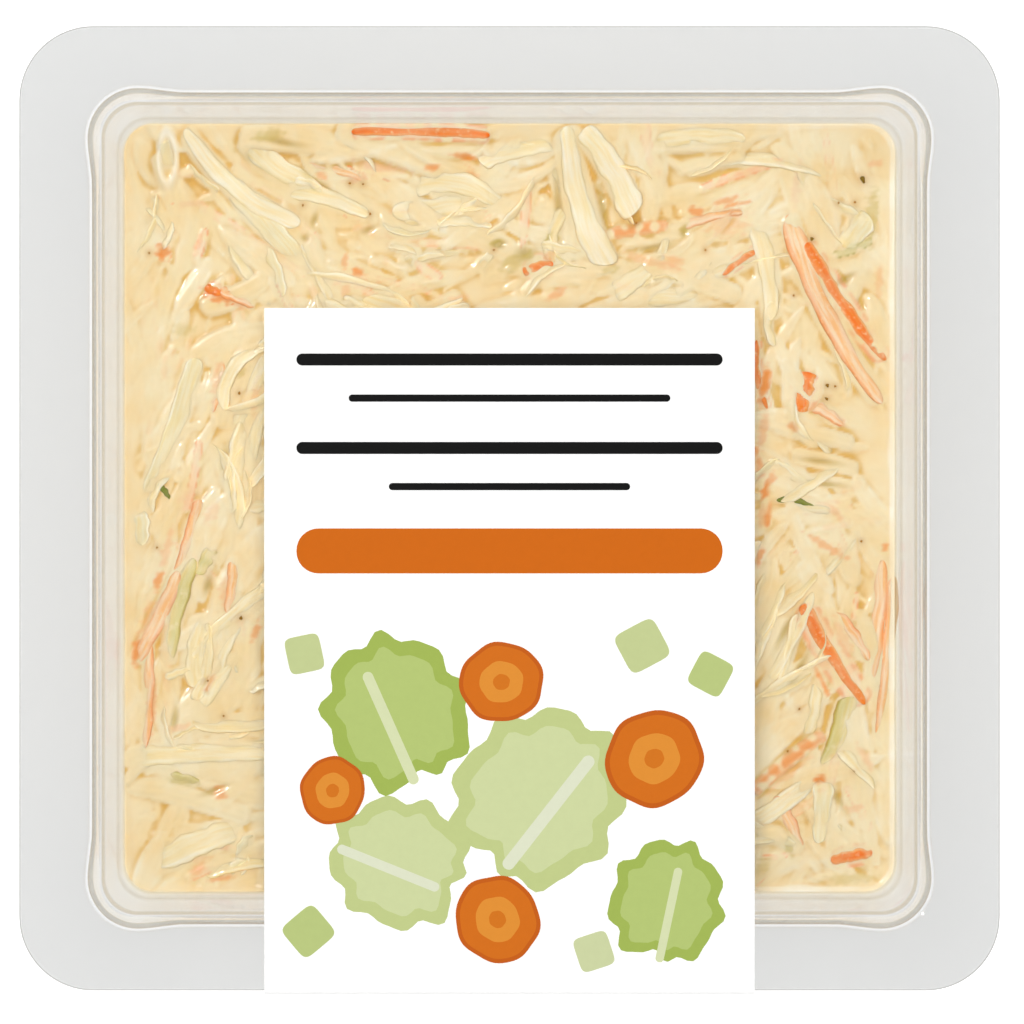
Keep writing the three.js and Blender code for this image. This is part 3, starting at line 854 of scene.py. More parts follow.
@dataclass
class Label:
    """The wrap label: a strip over the film, folded down over the flange's front edge."""

    width: float = 61.0
    thickness: float = 0.18
    back_edge: float = 24.9
    top: float = 50.31  # middle of its thickness on the lid
    fold: float = 0.5
    front: float = -59.9
    wall_top: float = 15.0
    wall_end: float = 7.5
    stand_off: float = 0.8
    columns: int = 24
    black: str = "#080808"
    orange: str = "#C9640A"

    def rules(self) -> list[Print]:
        """Two pairs of plain bars and the orange band, on the lid's upper half."""
        sizes = (6.4, 53.0, 1.5), (11.2, 40.0, 0.9), (17.4, 53.0, 1.5), (22.2, 30.0, 0.9)
        bars = [Print(Motif.BAR, 0.0, at, long, high, 0.0, self.black) for at, long, high in sizes]
        return [*bars, Print(Motif.BAR, 0.0, 30.2, 53.0, 5.6, 0.0, self.orange)]

    def line(self) -> tuple[Array, Array]:
        """Centre line in y and z, and the distance run along it.

        It lies flat on the lid, turns round the flange and slants to the wall.
        """
        fold_centre = np.array([self.front, self.top - self.fold])
        foot_top, foot_end = (
            np.array([-(wall_half(z) + self.stand_off), z]) for z in (self.wall_top, self.wall_end)
        )
        slant = foot_top - fold_centre
        lean = math.atan2(slant[0], -slant[1])
        turn = np.linspace(math.pi / 2, math.pi + lean, 12)
        arc = fold_centre + self.fold * np.stack([np.cos(turn), np.sin(turn)], -1)
        lid_y = np.linspace(self.back_edge, self.front, 40)[:-1]
        lid = np.stack([lid_y, np.full_like(lid_y, self.top)], -1)
        share = np.linspace(0, 1, 24)[1:-1, None]
        panel = arc[-1] + share * (foot_top - arc[-1])
        t = np.linspace(0, 1, 9)[:, None]
        bend_in = foot_top + (arc[-1] - foot_top) * 0.06
        bend_out = foot_top + (foot_end - foot_top) * 0.3
        bend = (1 - t) ** 2 * bend_in + 2 * t * (1 - t) * foot_top + t * t * bend_out
        keep = panel[panel[:, 1] > bend_in[1] + 0.3]
        line = np.concatenate([lid, arc, keep, bend, foot_end[None]])
        steps = np.linalg.norm(np.diff(line, axis=0), axis=1)
        return line, np.concatenate([[0], np.cumsum(steps)])

    def frame_at(self, along: Array) -> tuple[Array, Array]:
        """Place and outward normal, in y and z, at distances along the centre line."""
        line, run = self.line()
        slope = np.gradient(line, run, axis=0)
        place, slope = (
            np.stack([np.interp(along, run, values[:, k]) for k in (0, 1)], -1)
            for values in (line, slope)
        )
        slope /= np.linalg.norm(slope, axis=1)[:, None]
        return place, np.stack([slope[:, 1], -slope[:, 0]], -1)

    def surface(self) -> Surface:
        """The closed strip: at each station a thin ring across the width, rounded at its edges."""
        _, run = self.line()
        place, normal = self.frame_at(run)
        edge, half = self.width / 2, self.thickness / 2
        across = np.linspace(-1, 1, self.columns) * (edge - half / 2)
        ring_x = np.concatenate([across, [edge, edge], across[::-1], [-edge, -edge]])
        flat = np.full(self.columns, half)
        ring_n = np.concatenate([flat, [half / 2, -half / 2], -flat, [-half / 2, half / 2]])
        x = np.broadcast_to(ring_x, (len(run), len(ring_x)))
        yz = place[:, None] + normal[:, None] * ring_n[None, :, None]
        return skin(np.concatenate([x[..., None], yz], -1)).facing_out()

    def shape(self, motif: Motif, turn: Array) -> Array:
        """Radius of a motif against its turn, both half-widths being one.

        A coin is a circle with a slight wobble, a die a soft square, a leaf a broad oval with
        a scalloped edge and a notch at its stalk.
        """
        if motif is Motif.COIN:
            return 1 + 0.018 * np.sin(5 * turn) + 0.012 * np.sin(8 * turn + 1)
        if motif is Motif.DICE:
            return (np.abs(np.cos(turn)) ** 6 + np.abs(np.sin(turn)) ** 6) ** (-1 / 6)
        scallop = 0.055 * np.cos(9 * turn + 0.6) + 0.03 * np.cos(14 * turn)
        return 0.93 + scallop - 0.22 * np.exp(-(((turn - 1.5 * math.pi) / 0.28) ** 2))

    def prism(self, mark: Print, number: int) -> Surface:
        """A printed shape as a very thin closed prism that follows the label's face.

        Later shapes stand a few microns higher, so that no two faces coincide.
        """
        if mark.motif is Motif.BAR:
            end = min(mark.width, mark.height) / 2 * 0.98
            loop = rounded_outline(
                *np.array([[mark.width / 2], [mark.height / 2], [end], [0.0]]), Meshing(9, 3)
            )[0]
        else:
            turn = np.linspace(0, math.tau, 72, endpoint=False)
            radius = self.shape(mark.motif, turn)
            loop = np.stack([np.cos(turn) * mark.width, np.sin(turn) * mark.height], -1)
            loop = loop * radius[:, None] / 2
        angle = math.radians(mark.turn)
        across = mark.across + loop[:, 0] * math.cos(angle) - loop[:, 1] * math.sin(angle)
        along = mark.along - loop[:, 0] * math.sin(angle) - loop[:, 1] * math.cos(angle)
        place, normal = self.frame_at(along)
        face = self.thickness / 2
        lifts = face + np.array([-0.02, 0.008 + 0.003 * number])
        yz = place[None] + normal[None] * lifts[:, None, None]
        x = np.broadcast_to(np.clip(across, -self.width / 2, self.width / 2), yz.shape[:2])
        made = skin(np.concatenate([x[..., None], yz], -1)).facing_out()
        made.layers["ink"] = np.broadcast_to(rgb(mark.colour), made.points.shape).copy()
        return made

    def marks(self) -> list[Print]:
        """Every printed shape: rules and band, then leaves, coins and dice lower down."""
        leaves = [
            *leaf(-14.0, 50.5, 19.0, 24.0, pale=False),
            *leaf(3.5, 61.0, 22.0, -38.0, pale=True),
            *leaf(-13.5, 69.0, 17.0, 68.0, pale=True),
            *leaf(19.5, 74.0, 15.0, -12.0, pale=False),
        ]
        coins = [
            *coin(-1.0, 46.5, 10.5, 10.0),
            *coin(18.0, 56.0, 12.5, 40.0),
            *coin(-22.0, 60.0, 8.5, 75.0),
            *coin(-1.5, 76.0, 11.0, 120.0),
        ]
        dice = [
            Print(Motif.DICE, 16.5, 42.0, 5.6, 5.4, 28.0, "#BCC68C"),
            Print(Motif.DICE, 25.0, 45.5, 4.6, 4.6, 62.0, "#B2C07A"),
            Print(Motif.DICE, -25.5, 43.0, 4.4, 4.6, 12.0, "#BCC68C"),
            Print(Motif.DICE, -25.0, 77.5, 5.2, 5.0, 40.0, "#B2C07A"),
            Print(Motif.DICE, 10.5, 80.0, 4.4, 4.4, 18.0, "#C4CC9C"),
        ]
        front = [
            Print(Motif.BAR, 0.0, 94.0, 53.0, 4.2, 0.0, self.orange),
            Print(Motif.BAR, 0.0, 101.0, 53.0, 0.5, 0.0, self.black),
            Print(Motif.BAR, 0.0, 110.0, 53.0, 0.5, 0.0, self.black),
        ]
        return [*self.rules(), *leaves, *coins, *dice, *front]

    def printed(self) -> Surface:
        """All printed shapes as one surface."""
        return reduce(Surface.joined, (self.prism(m, n) for n, m in enumerate(self.marks())))

    def build(self, stock: LabelStock, ink: Ink) -> None:
        """Make the label in its node's place, and its print on top."""
        self.surface().put("wrap_label", stock.build(), "label_paper", ("label",), crease=40)
        self.printed().put("label_print", ink.build(), "label_print", crease=30)


# ---- Salad ---------------------------------------


@dataclass(frozen=True)
class Look:
    """How a pressed shred is coloured and shaped across its width."""

    core: str
    # on cabbage, white and rib shreds the lighter edge colour is a painted highlight
    edge: str
    edge_from: float  # share of the half-width where the edge colour starts
    cover: float  # how much of its own colour shows through the dressing
    flat: float  # 2 is a round back, 5 a flat one with rounded edges
    ridge: float  # mm that its edges stand above its middle
    mottle: float  # share of the surface hidden by patches of dressing
    flank_shade: float = 0.6  # how far its steep sides take the painted warm shade


class Kind(Enum):
    """Kinds of shred, each with how it looks."""

    CABBAGE = Look("#FBEBC4", "#FDF2D4", 0.5, 0.9, 3.5, 0.0, 0.1)
    WHITE = Look("#FEF1D2", "#FEF4DA", 0.5, 1.0, 5.0, 0.03, 0.0)
    CREAM = Look("#F7E4B6", "#F9EAC4", 0.5, 0.8, 3.0, 0.0, 0.2)
    COATED = Look("#F8E6B8", "#F9E8BE", 0.6, 0.7, 2.0, 0.0, 0.0)
    RIB = Look("#F2E6C0", "#FEF8E2", 0.66, 0.95, 5.0, 0.1, 0.05)
    PINK = Look("#FDDDB8", "#F6B07C", 0.55, 0.95, 3.5, 0.05, 0.2, 0.25)
    CORAL = Look("#F79A40", "#F8BA7C", 0.4, 0.9, 3.0, 0.0, 0.15)
    PEACH = Look("#F8CE98", "#F8D2A4", 0.6, 0.6, 2.0, 0.0, 0.3)
    OLIVE = Look("#DFD292", "#C2B25E", 0.66, 0.9, 4.0, 0.06, 0.1)
    CARROT = Look("#F68008", "#F9A64E", 0.5, 1.0, 4.0, 0.0, 0.0, 0.3)
    GREEN = Look("#7C8426", "#5A6418", 0.7, 1.0, 4.0, 0.0, 0.0)
    SPICE = Look("#B98438", "#84681E", 0.7, 1.0, 4.0, 0.0, 0.0)


DRESSING_TINT = rgb("#FAE7BC")
# painted highlight for crests, and painted ochre shade for hollows and for shreds that lie low
CREST_HIGHLIGHT = rgb("#FEF4DA")
CREVICE_SHADE = rgb("#E0B55A")
# painted warm shade for the steep sides of bare shreds
FLANK_SHADE = rgb("#F2BF56")
# painted highlight on the meniscus along the wall
MENISCUS_HIGHLIGHT = rgb("#FFF8E4")
SPECK_HALO = rgb("#D2A25A")
# painted shadow for the floor of deep gaps between shreds
POCKET_SHADOW = rgb("#B89C42")
STAIN_TINTS = rgb("#F8BC88"), rgb("#F39438"), rgb("#CDB552"), rgb("#F3C6A4")


@dataclass(frozen=True)
class Strip:
    """A shred laid from one point to another on a canvas, in mm."""

    kind: Kind
    start: tuple[float, float]
    end: tuple[float, float]
    width: float
    bow: float = 0.0
    rise: float = 0.45
    level: float = 0.1  # its own height, where it isn't carried by what is under it
    hold: float = 0.5  # how far it keeps to its own level
    taper: float = 0.25
    blunt: float = 0.5  # length of its rounded end, in half-widths
    soft: float = 0.22  # width of the fillet that the dressing makes, mm
    tilt: float = 0.0


def course(strip: "Strip | Shred") -> tuple[Array, Array, float, Array]:
    """Middle, span, length and direction of a shred's straight line."""
    start, end = np.array(strip.start), np.array(strip.end)
    span = end - start
    length = float(np.hypot(*span))
    return (start + end) / 2, span, length, span / length


@dataclass
class Canvas:
    """A grid of points with heights and tints that shreds and dressing are laid on.

    u and v are the grid's own flat coordinates in mm, height is above the carrying shape.
    """

    u: Array
    v: Array
    cyclic: bool = False
    seed: int = 3
    back_rise: float = 0.0
    slope: float = 1.6  # how steeply a shred falls away past its edge
    fibre_mm: float = 0.95
    fibre_depth: float = 0.018

    def __post_init__(self) -> None:
        """Start level, in plain dressing, with a slow swell."""
        self.height = 0.18 * ripples(self.u, self.v, 21.0, self.seed)
        self.tint = np.broadcast_to(DRESSING_TINT, (*self.u.shape, 3)).copy()
        self.patch = ripples(self.u, self.v, 1.7, self.seed + 1)
        self.around = self.height

    def near(self, centre: Array, reach: Array | float) -> tuple[Array, ...]:
        """Numbers of the points inside a window."""
        wide, deep = np.broadcast_to(reach, 2)
        inside = (np.abs(self.u - centre[0]) < wide) & (np.abs(self.v - centre[1]) < deep)
        return np.nonzero(inside)

    def window(self, strip: Strip) -> tuple[Array, ...]:
        """Numbers of the points that a strip can reach."""
        middle, span, _, _ = course(strip)
        return self.near(middle, np.abs(span) / 2 + abs(strip.bow) + strip.width + 0.8)

    def oval(self, row: Array, reach: float) -> tuple[tuple[Array, ...], Array, Array]:
        """The points round an oval, and where they lie along and across it in half-sizes.

        Args:
            row: x, y, half-length, half-width and turn in degrees.
            reach: Half-size of the window in half-lengths.
        """
        x, y, long, wide, angle = row[:5]
        spot = self.near(row[:2], reach * long)
        du, dv, turn = self.u[spot] - x, self.v[spot] - y, math.radians(angle)
        along = (du * math.cos(turn) + dv * math.sin(turn)) / long
        return spot, along, (dv * math.cos(turn) - du * math.sin(turn)) / wide

    def paint(self, colour: Array, share: Array, spot: object = ...) -> None:
        """Draw the tint towards a colour by a share, everywhere or at some points."""
        self.tint[spot] += (colour - self.tint[spot]) * share[..., None]

    def base(self, strip: Strip, share: Array) -> Array:
        """Height that carries a strip, at shares of its length from -1 to 1.

        It is the quadratic through the heights under it, read at five places along it,
        drawn towards its own level.
        """
        middle, span, length, unit = course(strip)
        spot = self.window(strip)
        read = np.linspace(-0.9, 0.9, 5)
        side = strip.bow * (1 - read**2)
        at_u = middle[0] + read * length / 2 * unit[0] - side * unit[1]
        at_v = middle[1] + read * length / 2 * unit[1] + side * unit[0]
        gaps = (self.u[spot] - at_u[:, None]) ** 2 + (self.v[spot] - at_v[:, None]) ** 2
        under = np.polyfit(read, self.height[spot][gaps.argmin(axis=1)], 2)
        fit = np.polyval(under, np.clip(share, -1, 1))
        heap = self.heap(middle[1] + share * span[1] / 2)
        return fit + (strip.level + heap - fit) * strip.hold + strip.tilt * share

    def heap(self, v: Array) -> Array:
        """Extra height of the open top towards the back wall."""
        return self.back_rise * smooth((v - 41.5) / 7)

    def under(self, values: Array, points: Array) -> Array:
        """Values of a layer at the grid point nearest to each given point, for the open top."""
        half = np.array([self.u.max(), self.v.max()])
        cells = np.array(self.u.shape) - 1
        place = np.round((points[:, :2] + half) / (2 * half) * cells).astype(int)
        row, column = np.clip(place, 0, cells).T
        return values[row, column]

    def press(self, strip: Strip) -> None:
        """Lay one shred: raise the canvas to its back and colour it.

        In the strip's own frame, q is the distance from its middle line in half-widths,
        growing past its ends as well. Its back is (1 - q^flat)^(1/2) high, falls away
        steeply past q = 1, and is joined to what is there by a rounded maximum whose
        overlap is the soft width.
        """
        middle, _, length, unit = course(strip)
        spot = self.window(strip)
        if len(spot[0]) < 8:
            return
        look = strip.kind.value
        du, dv = self.u[spot] - middle[0], self.v[spot] - middle[1]
        along = du * unit[0] + dv * unit[1]
        share = np.clip(along / (length / 2), -1.2, 1.2)
        off = dv * unit[0] - du * unit[1] - strip.bow * (1 - share**2)
        half = strip.width / 2 * np.maximum(1 - strip.taper * share**2, 0.08)
        tip = strip.blunt * strip.width / 2 + 0.05
        past = np.maximum(np.abs(along) - (length / 2 - tip), 0) / tip
        q = np.hypot(off / half, past)
        back = np.sqrt(np.clip(1 - q**look.flat, 0, 1))
        rim = np.exp(-(((q - 0.86) / 0.13) ** 2)) * look.ridge
        winding = off * math.tau / self.fibre_mm + 1.2 * np.sin(along * 0.4)
        fibre = np.sin(winding + 9 * strip.width)
        fall = self.slope * np.maximum(q - 1, 0) * half
        crown = self.base(strip, share) + strip.rise * back + rim - fall
        crown += self.fibre_depth * fibre * back
        now = self.height[spot]
        share_up = np.clip(0.5 + 0.5 * (crown - now) / strip.soft, 0, 1)
        self.height[spot] = now + (crown - now) * share_up + strip.soft * share_up * (1 - share_up)
        shown = smooth((self.patch[spot] + 1.3 - 2.4 * look.mottle) / 1.1)
        cover = look.cover * share_up * np.clip((1.14 - q) / 0.22, 0, 1) * shown
        edge = smooth((q - look.edge_from) / 0.25)[:, None]
        own = rgb(look.core) * (1 - edge) + rgb(look.edge) * edge
        self.paint(own * (1 + 0.02 * fibre[:, None]), cover, spot)

    def flood(self, level: Array, soft: float, cover: float) -> None:
        """Fill the hollows with dressing up to a level, with a rounded shore."""
        share = np.clip(0.5 + 0.5 * (level - self.height) / soft, 0, 1)
        self.height += (level - self.height) * share + soft * share * (1 - share)
        self.paint(DRESSING_TINT, cover * smooth(share))

    def blurred(self, values: Array, steps: int) -> Array:
        """Values averaged over neighbours again and again, both ways."""
        mode = "wrap" if self.cyclic else "edge"
        for _ in range(steps):
            wide = np.pad(values, ((1, 1), (0, 0)), mode="edge")
            values = (wide[:-2] + 2 * wide[1:-1] + wide[2:]) / 4
            wide = np.pad(values, ((0, 0), (1, 1)), mode=mode)
            values = (wide[:, :-2] + 2 * wide[:, 1:-1] + wide[:, 2:]) / 4
        return values

    def shade_relief(self, steps: int, deep: float, crest: float, ochre: float) -> None:
        """Paint shade into hollows as an ochre tint and a pale highlight onto crests, by each point's
        height against its surroundings.

        Args:
            steps: How often the height is averaged to get the surroundings.
            deep: Depth in mm at which a hollow takes the full tint.
            crest: Height in mm at which a crest does.
            ochre: How much of its own tint a hollow loses to the painted shade.
        """
        self.around = self.blurred(self.height, steps)
        relief = self.height - self.around
        # painted shade in the hollows, painted highlight on the crests
        self.paint(CREVICE_SHADE, ochre * smooth(-relief / deep))
        self.paint(CREST_HIGHLIGHT, 0.6 * smooth(relief / crest))


FLOW = np.array(
    [
        # x, y and heading in degrees of the shreds' lie on the surface
        [-44, 30, 72], [-40, 44, -48], [-28, 42, -42], [-33, 33, -46], [-20, 32, -30],
        [-10, 45, -6], [-8, 33, 12], [2, 40, 18], [9, 40, -76], [16, 44, -70],
        [20, 33, 10], [28, 40, 20], [32, 31, 28], [42, 42, -66], [42, 25, -60],
        [36, 14, -75], [44, 5, -20], [38, 2, -8], [36, -8, 62], [44, -14, -74],
        [35, -22, 60], [45, -30, -82], [38, -36, 42], [34, -45, 30], [44, -44, -50],
        [-36, 24, 30], [-44, 12, 74], [-36, 8, 80], [-44, -8, 76], [-36, -18, 84],
        [-45, -26, 82], [-38, -31, 2], [-36, -40, 20], [-44, -44, 40], [0, 0, 45],
    ],
    dtype=float,
)


def lie(x: float, y: float) -> float:
    """Heading in degrees of the shreds at a place: anchors weighed by inverse distance^3."""
    weight = 1 / (np.hypot(FLOW[:, 0] - x, FLOW[:, 1] - y) + 2.0) ** 3
    double = np.radians(2 * FLOW[:, 2])
    return math.degrees(
        math.atan2((weight * np.sin(double)).sum(), (weight * np.cos(double)).sum()) / 2
    )


def ends_of(place: Array, turn: float, length: float) -> tuple[tuple[float, ...], ...]:
    """Both ends of a line of a length and a heading in radians round its middle."""
    half = np.array([math.cos(turn), math.sin(turn)]) * length / 2
    return tuple(place - half), tuple(place + half)


def drawn(draw: np.random.Generator, odds: dict[Kind, float]) -> Kind:
    """One kind by the odds."""
    return list(odds)[draw.choice(len(odds), p=list(odds.values()))]


EYE_CATCHERS = {
    # x0, y0, x1, y1, width, bow, rise and level of each shred, by kind: bands at the back
    # and the left, fans at the right, ribs and leaf edges, pale carrot, and carrot under
    # the dressing
    Kind.CREAM: [
        (-34.5, 47.3, -20, 45.6, 3.8, 0.8, 0.6, 0.25), (-22, 48.4, -8, 43.2, 4.4, 0.5, 0.5, 0.25),
        (-47, 22, -44.5, 6, 4.6, 0.3, 0.3, 0.1), (-39.5, 25.5, -31, 29.5, 3, -0.5, 0.5, 0.3),
        (-8, 36, 3.5, 30.5, 3.4, 0.7, 0.4, 0.2), (17, 31, 29.5, 27, 3, 0.4, 0.4, 0.2),
        (36.2, 9.8, 44, 8.2, 2.4, 0.2, 0.45, 0.3), (35.9, 6.8, 44.6, 4.8, 2.4, 0.2, 0.4, 0.3),
        (36.5, 3.8, 43.8, 2.9, 1.8, 0.1, 0.35, 0.25), (-46, -36, -33, -39.5, 3, 0.4, 0.4, 0.1),
    ],
    Kind.CABBAGE: [
        (-34, 47.8, -24, 40.5, 3.6, -0.9, 0.5, 0.35), (-29, 41, -18, 37.5, 3, 0.6, 0.5, 0.35),
        (-15, 38, -3, 39.5, 3.2, -0.5, 0.4, 0.3), (-4, 44.5, 6, 46.5, 3.4, 0.5, 0.5, 0.35),
        (18, 46.5, 30, 47, 3, 0.5, 0.4, 0.3), (31, 38, 33.5, 24, 3, 0.6, 0.5, 0.35),
        (38.7, -10.7, 32.3, -23.2, 1.7, 0.4, 0.55, 0.4), (36.6, -13.5, 33.9, -24.5, 1.5, 0.3, 0.5, 0.35),
        (35, -9, 31.2, -17.5, 1.5, 0.3, 0.5, 0.35), (-49, -31.8, -31, -31.4, 3.2, 0.35, 0.7, 0.5),
    ],
    Kind.RIB: [
        (-36.8, 42.4, -26.6, 30.8, 3.4, 0.4, 0.45, 0.4), (-40.1, 19.2, -46.3, 2.1, 2.7, 0.5, 0.55, 0.45),
        (-47.2, -0.2, -47, -4.7, 2.6, 0, 0.4, 0.35), (40, -33.5, 39.5, -42.7, 3.1, 0.2, 0.5, 0.4),
        (45.8, 37.5, 42.3, 32.6, 3.4, 0, 0.4, 0.35), (-43.6, 46.8, -43.4, 41.4, 2.5, 0, 0.4, 0.4),
        (-31.5, 33.5, -29, 27, 2.2, 0.3, 0.4, 0.4),
    ],
    Kind.OLIVE: [
        (-38, -5.1, -39.6, -8.5, 2.2, 0, 0.5, 0.5), (-40.3, -6.4, -43.6, -19.9, 2.3, -0.6, 0.6, 0.5),
        (43.5, -24, 40.2, -33.7, 3.2, 0.3, 0.5, 0.4), (41.2, 32.3, 46.3, 34.3, 1.1, -0.3, 0.4, 0.4),
        (-43.7, -34.2, -39.6, -35, 1.5, 0.1, 0.4, 0.3),
    ],
    Kind.PEACH: [
        (-36, 30, -34, 20, 1.8, 0.3, 0.2, 0.1), (-20, 36, -9, 33.5, 1.6, 0.3, 0.2, 0.15),
        (-45.5, 27, -44.8, 17, 1.6, 0.2, 0.2, 0.1), (33, 3, 35, -6, 1.6, 0.3, 0.2, 0.1),
        (45.6, 27.5, 46.3, 21.5, 1.2, 0.1, 0.2, 0.1), (37.5, -0.8, 44, -8.5, 1.5, 0.4, 0.25, 0.15),
        (34.2, -27, 33.2, -36, 1.7, 0.3, 0.25, 0.15),
    ],
    Kind.PINK: [
        (35.6, 37.6, 47.5, 13.4, 3, -1.3, 0.7, 0.65), (-42.2, -8.1, -48, -19.9, 2.2, 0.3, 0.5, 0.4),
        (-39.6, 1.1, -42.6, -8.5, 1.8, 0.2, 0.4, 0.3), (-46.1, -16.8, -46.5, -30.6, 1.6, 0.2, 0.4, 0.35),
        (-35, -6.4, -36, -13.3, 2, 0.1, 0.4, 0.3), (47.6, -6.6, 45.8, -23.2, 2, 0.3, 0.45, 0.4),
        (49, -8.7, 46.9, -30.3, 1.8, 0.3, 0.4, 0.3), (41.7, -13.3, 45.8, -19.4, 1.9, 0.2, 0.4, 0.3),
        (44.4, -10.7, 43.9, -14.3, 0.7, 0, 0.3, 0.3), (24.4, 40.7, 34.8, 44.3, 1.3, 0.3, 0.3, 0.35),
        (22.3, 36.1, 29.7, 37.9, 1.5, 0.3, 0.35, 0.35), (-25.5, 43.9, -14, 40.7, 1.8, 0.4, 0.35, 0.4),
        (-37, 27.9, -32.5, 26, 1.8, 0, 0.4, 0.4), (-36.8, 19.6, -38, 12.3, 1.5, 0.3, 0.3, 0.3),
        (-39.6, 8.7, -41.4, -0.5, 1.2, 0.2, 0.3, 0.3), (-38.9, 35.8, -40.1, 31.5, 1.2, 0.1, 0.3, 0.3),
        (38.7, 13.2, 42.5, 10.7, 1.9, 0.2, 0.3, 0.3), (34.1, -36.7, 37.1, -43.7, 1.8, 0.2, 0.4, 0.4),
        (43, -35.4, 46.1, -41.1, 1.3, 0.1, 0.3, 0.3), (-41.4, -47.5, -37.5, -45.7, 1.3, 0.1, 0.3, 0.2),
        (46.5, 25.5, 45.2, 21, 0.8, 0.1, 0.2, 0.2), (41.5, -2.5, 43.2, -6.5, 1.2, 0.1, 0.25, 0.25),
    ],
    Kind.CORAL: [
        (31, -36.3, 40.2, -28.8, 2, 0.3, 0.45, 0.5), (12.1, 34.8, 20.3, 36.1, 1.8, 0.2, 0.45, 0.45),
        (-12.7, 43.5, -8.1, 43, 0.8, 0.1, 0.2, 0.3), (-44.9, 32.3, -43.2, 32, 1.5, 0, 0.3, 0.4),
        (27.2, 38.4, 31, 39.2, 0.6, 0.1, 0.2, 0.35), (33.1, 17.7, 31.8, 13.8, 1.5, 0.1, 0.3, 0.4),
        (31.2, 8, 33, -2.5, 1.5, 0.3, 0.3, 0.3), (40.8, -24, 38.9, -20, 0.9, 0.1, 0.2, 0.3),
    ],
}

PLACED = [
    Strip(kind, row[:2], row[2:4], *row[4:], hold=0.85, taper=0.2, soft=0.16)
    for kind, rows in EYE_CATCHERS.items()
    for row in rows
]


SOFT = (Kind.CREAM, Kind.COATED, Kind.PEACH, Kind.CORAL)  # kinds that stay under the dressing


@dataclass(frozen=True)
class Shred:
    """One bare shred from one point to another, in mm, with its own surface."""

    kind: Kind
    start: tuple[float, float]
    end: tuple[float, float]
    width: float
    thick: float
    bow: float = 0.0
    proud: float = 0.3  # how far its back stands above what carries it
    tip: float = 5.0  # 2 is a pointed oval, higher is blunter
    narrow: float = 0.0  # how much narrower its far end is
    lean: float = 0.0  # how far one long edge stands above the other
    curl: float = 0.0  # how far both long edges stand above its middle
    dive: tuple[float, float] = (0.0, 0.0)  # how far each end sinks
    skew: float = 0.0  # slant of its cut ends
    level: float = 0.2
    hold: float = 0.5
    bed: Kind = Kind.COATED
    ragged: float = 0.02  # how uneven its long edges are
    border: float = 1.08  # width of the bed in its own widths
    step: float = 0.2  # how far its back stands above the bed, little where it is well coated


SECTION = np.array(
    [
        # across and up, in half-widths and half-thicknesses: flat back, well rounded edges
        [1.0, -0.1], [0.95, 0.42], [0.85, 0.72], [0.68, 0.9], [0.4, 0.98], [0.0, 1.0],
        [-0.4, 0.98], [-0.68, 0.9], [-0.85, 0.72], [-0.95, 0.42], [-1.0, -0.1], [-0.9, -0.7],
        [-0.5, -1.0], [0.0, -1.0], [0.5, -1.0], [0.9, -0.7],
    ]
)

CARROTS = [
    Shred(Kind.CARROT, row[:2], row[2:4], *row[4:], bed=Kind.PINK, ragged=0.1, border=1.7)
    for row in (
        # x0, y0, x1, y1, width, thickness, bow, how proud, tip and narrowing
        (37.9, 33.9, 48, 18.9, 2, 1.5, -0.45, 0.45, 14, 0.25),
        (37.4, -12.2, 45.4, -25, 2.5, 1.6, -0.35, 0.45, 10, 0.5),
        (-20.1, 47.9, -2.5, 47.5, 1.6, 1.3, 0.35, 0.75, 8, 0),
        (38.2, 17.4, 37, 12.3, 2.5, 1.3, 0, 0.35, 16, 0.1),
        (41, -45, 46.3, -43.9, 1.9, 1.3, 0.1, 0.35, 8, 0.1),
        (1.7, 30.2, 5.6, 31.2, 2.2, 1.2, 0.1, 0.3, 5, 0.3),
        (27.2, 29.8, 32.5, 33.5, 1.1, 0.9, 0.2, 0.25, 3, 0.2),
        (31.6, 21.5, 32.9, 12.7, 1.2, 0.9, -0.7, 0.3, 3, 0.2),
        (-38.9, 28.3, -36.6, 27.2, 1.5, 1, 0, 0.3, 5, 0.1),
        (-35.9, 27.7, -35.3, 26, 1, 0.8, 0, 0.25, 5, 0),
    )
]

BROAD_FROM = 300  # their numbers start past those of the other shreds
BROAD = [
    # the broad leaves at the back
    Shred(
        Kind.WHITE, (-26.8, 36.2), (-41.3, 48.2), 2.7, 0.9, 1.6, 0.5, 12.0, 0.25,
        level=0.4, hold=0.7,
    ),
    Shred(
        Kind.WHITE, (12.4, 31.0), (7.4, 48.6), 4.0, 1.3, 1.1, 0.65, 24.0, 0.45,
        lean=0.1, skew=0.2, level=0.6, hold=0.75,
    ),
    Shred(
        Kind.WHITE, (15.8, 37.5), (9.4, 48.2), 3.7, 1.3, -0.7, 0.7, 24.0, 0.2,
        lean=-0.1, skew=-0.2, level=0.55, hold=0.75,
    ),
]

LEAVES = [
    Shred(Kind.GREEN, (34.1, 1.1), (38.9, 0.2), 1.15, 0.4, 0.35, 0.3, 2.2, 0.5),
    Shred(Kind.GREEN, (-44.8, 3.1), (-43.4, 1.2), 0.9, 0.35, 0.1, 0.3, 2.2, 0.3),
]

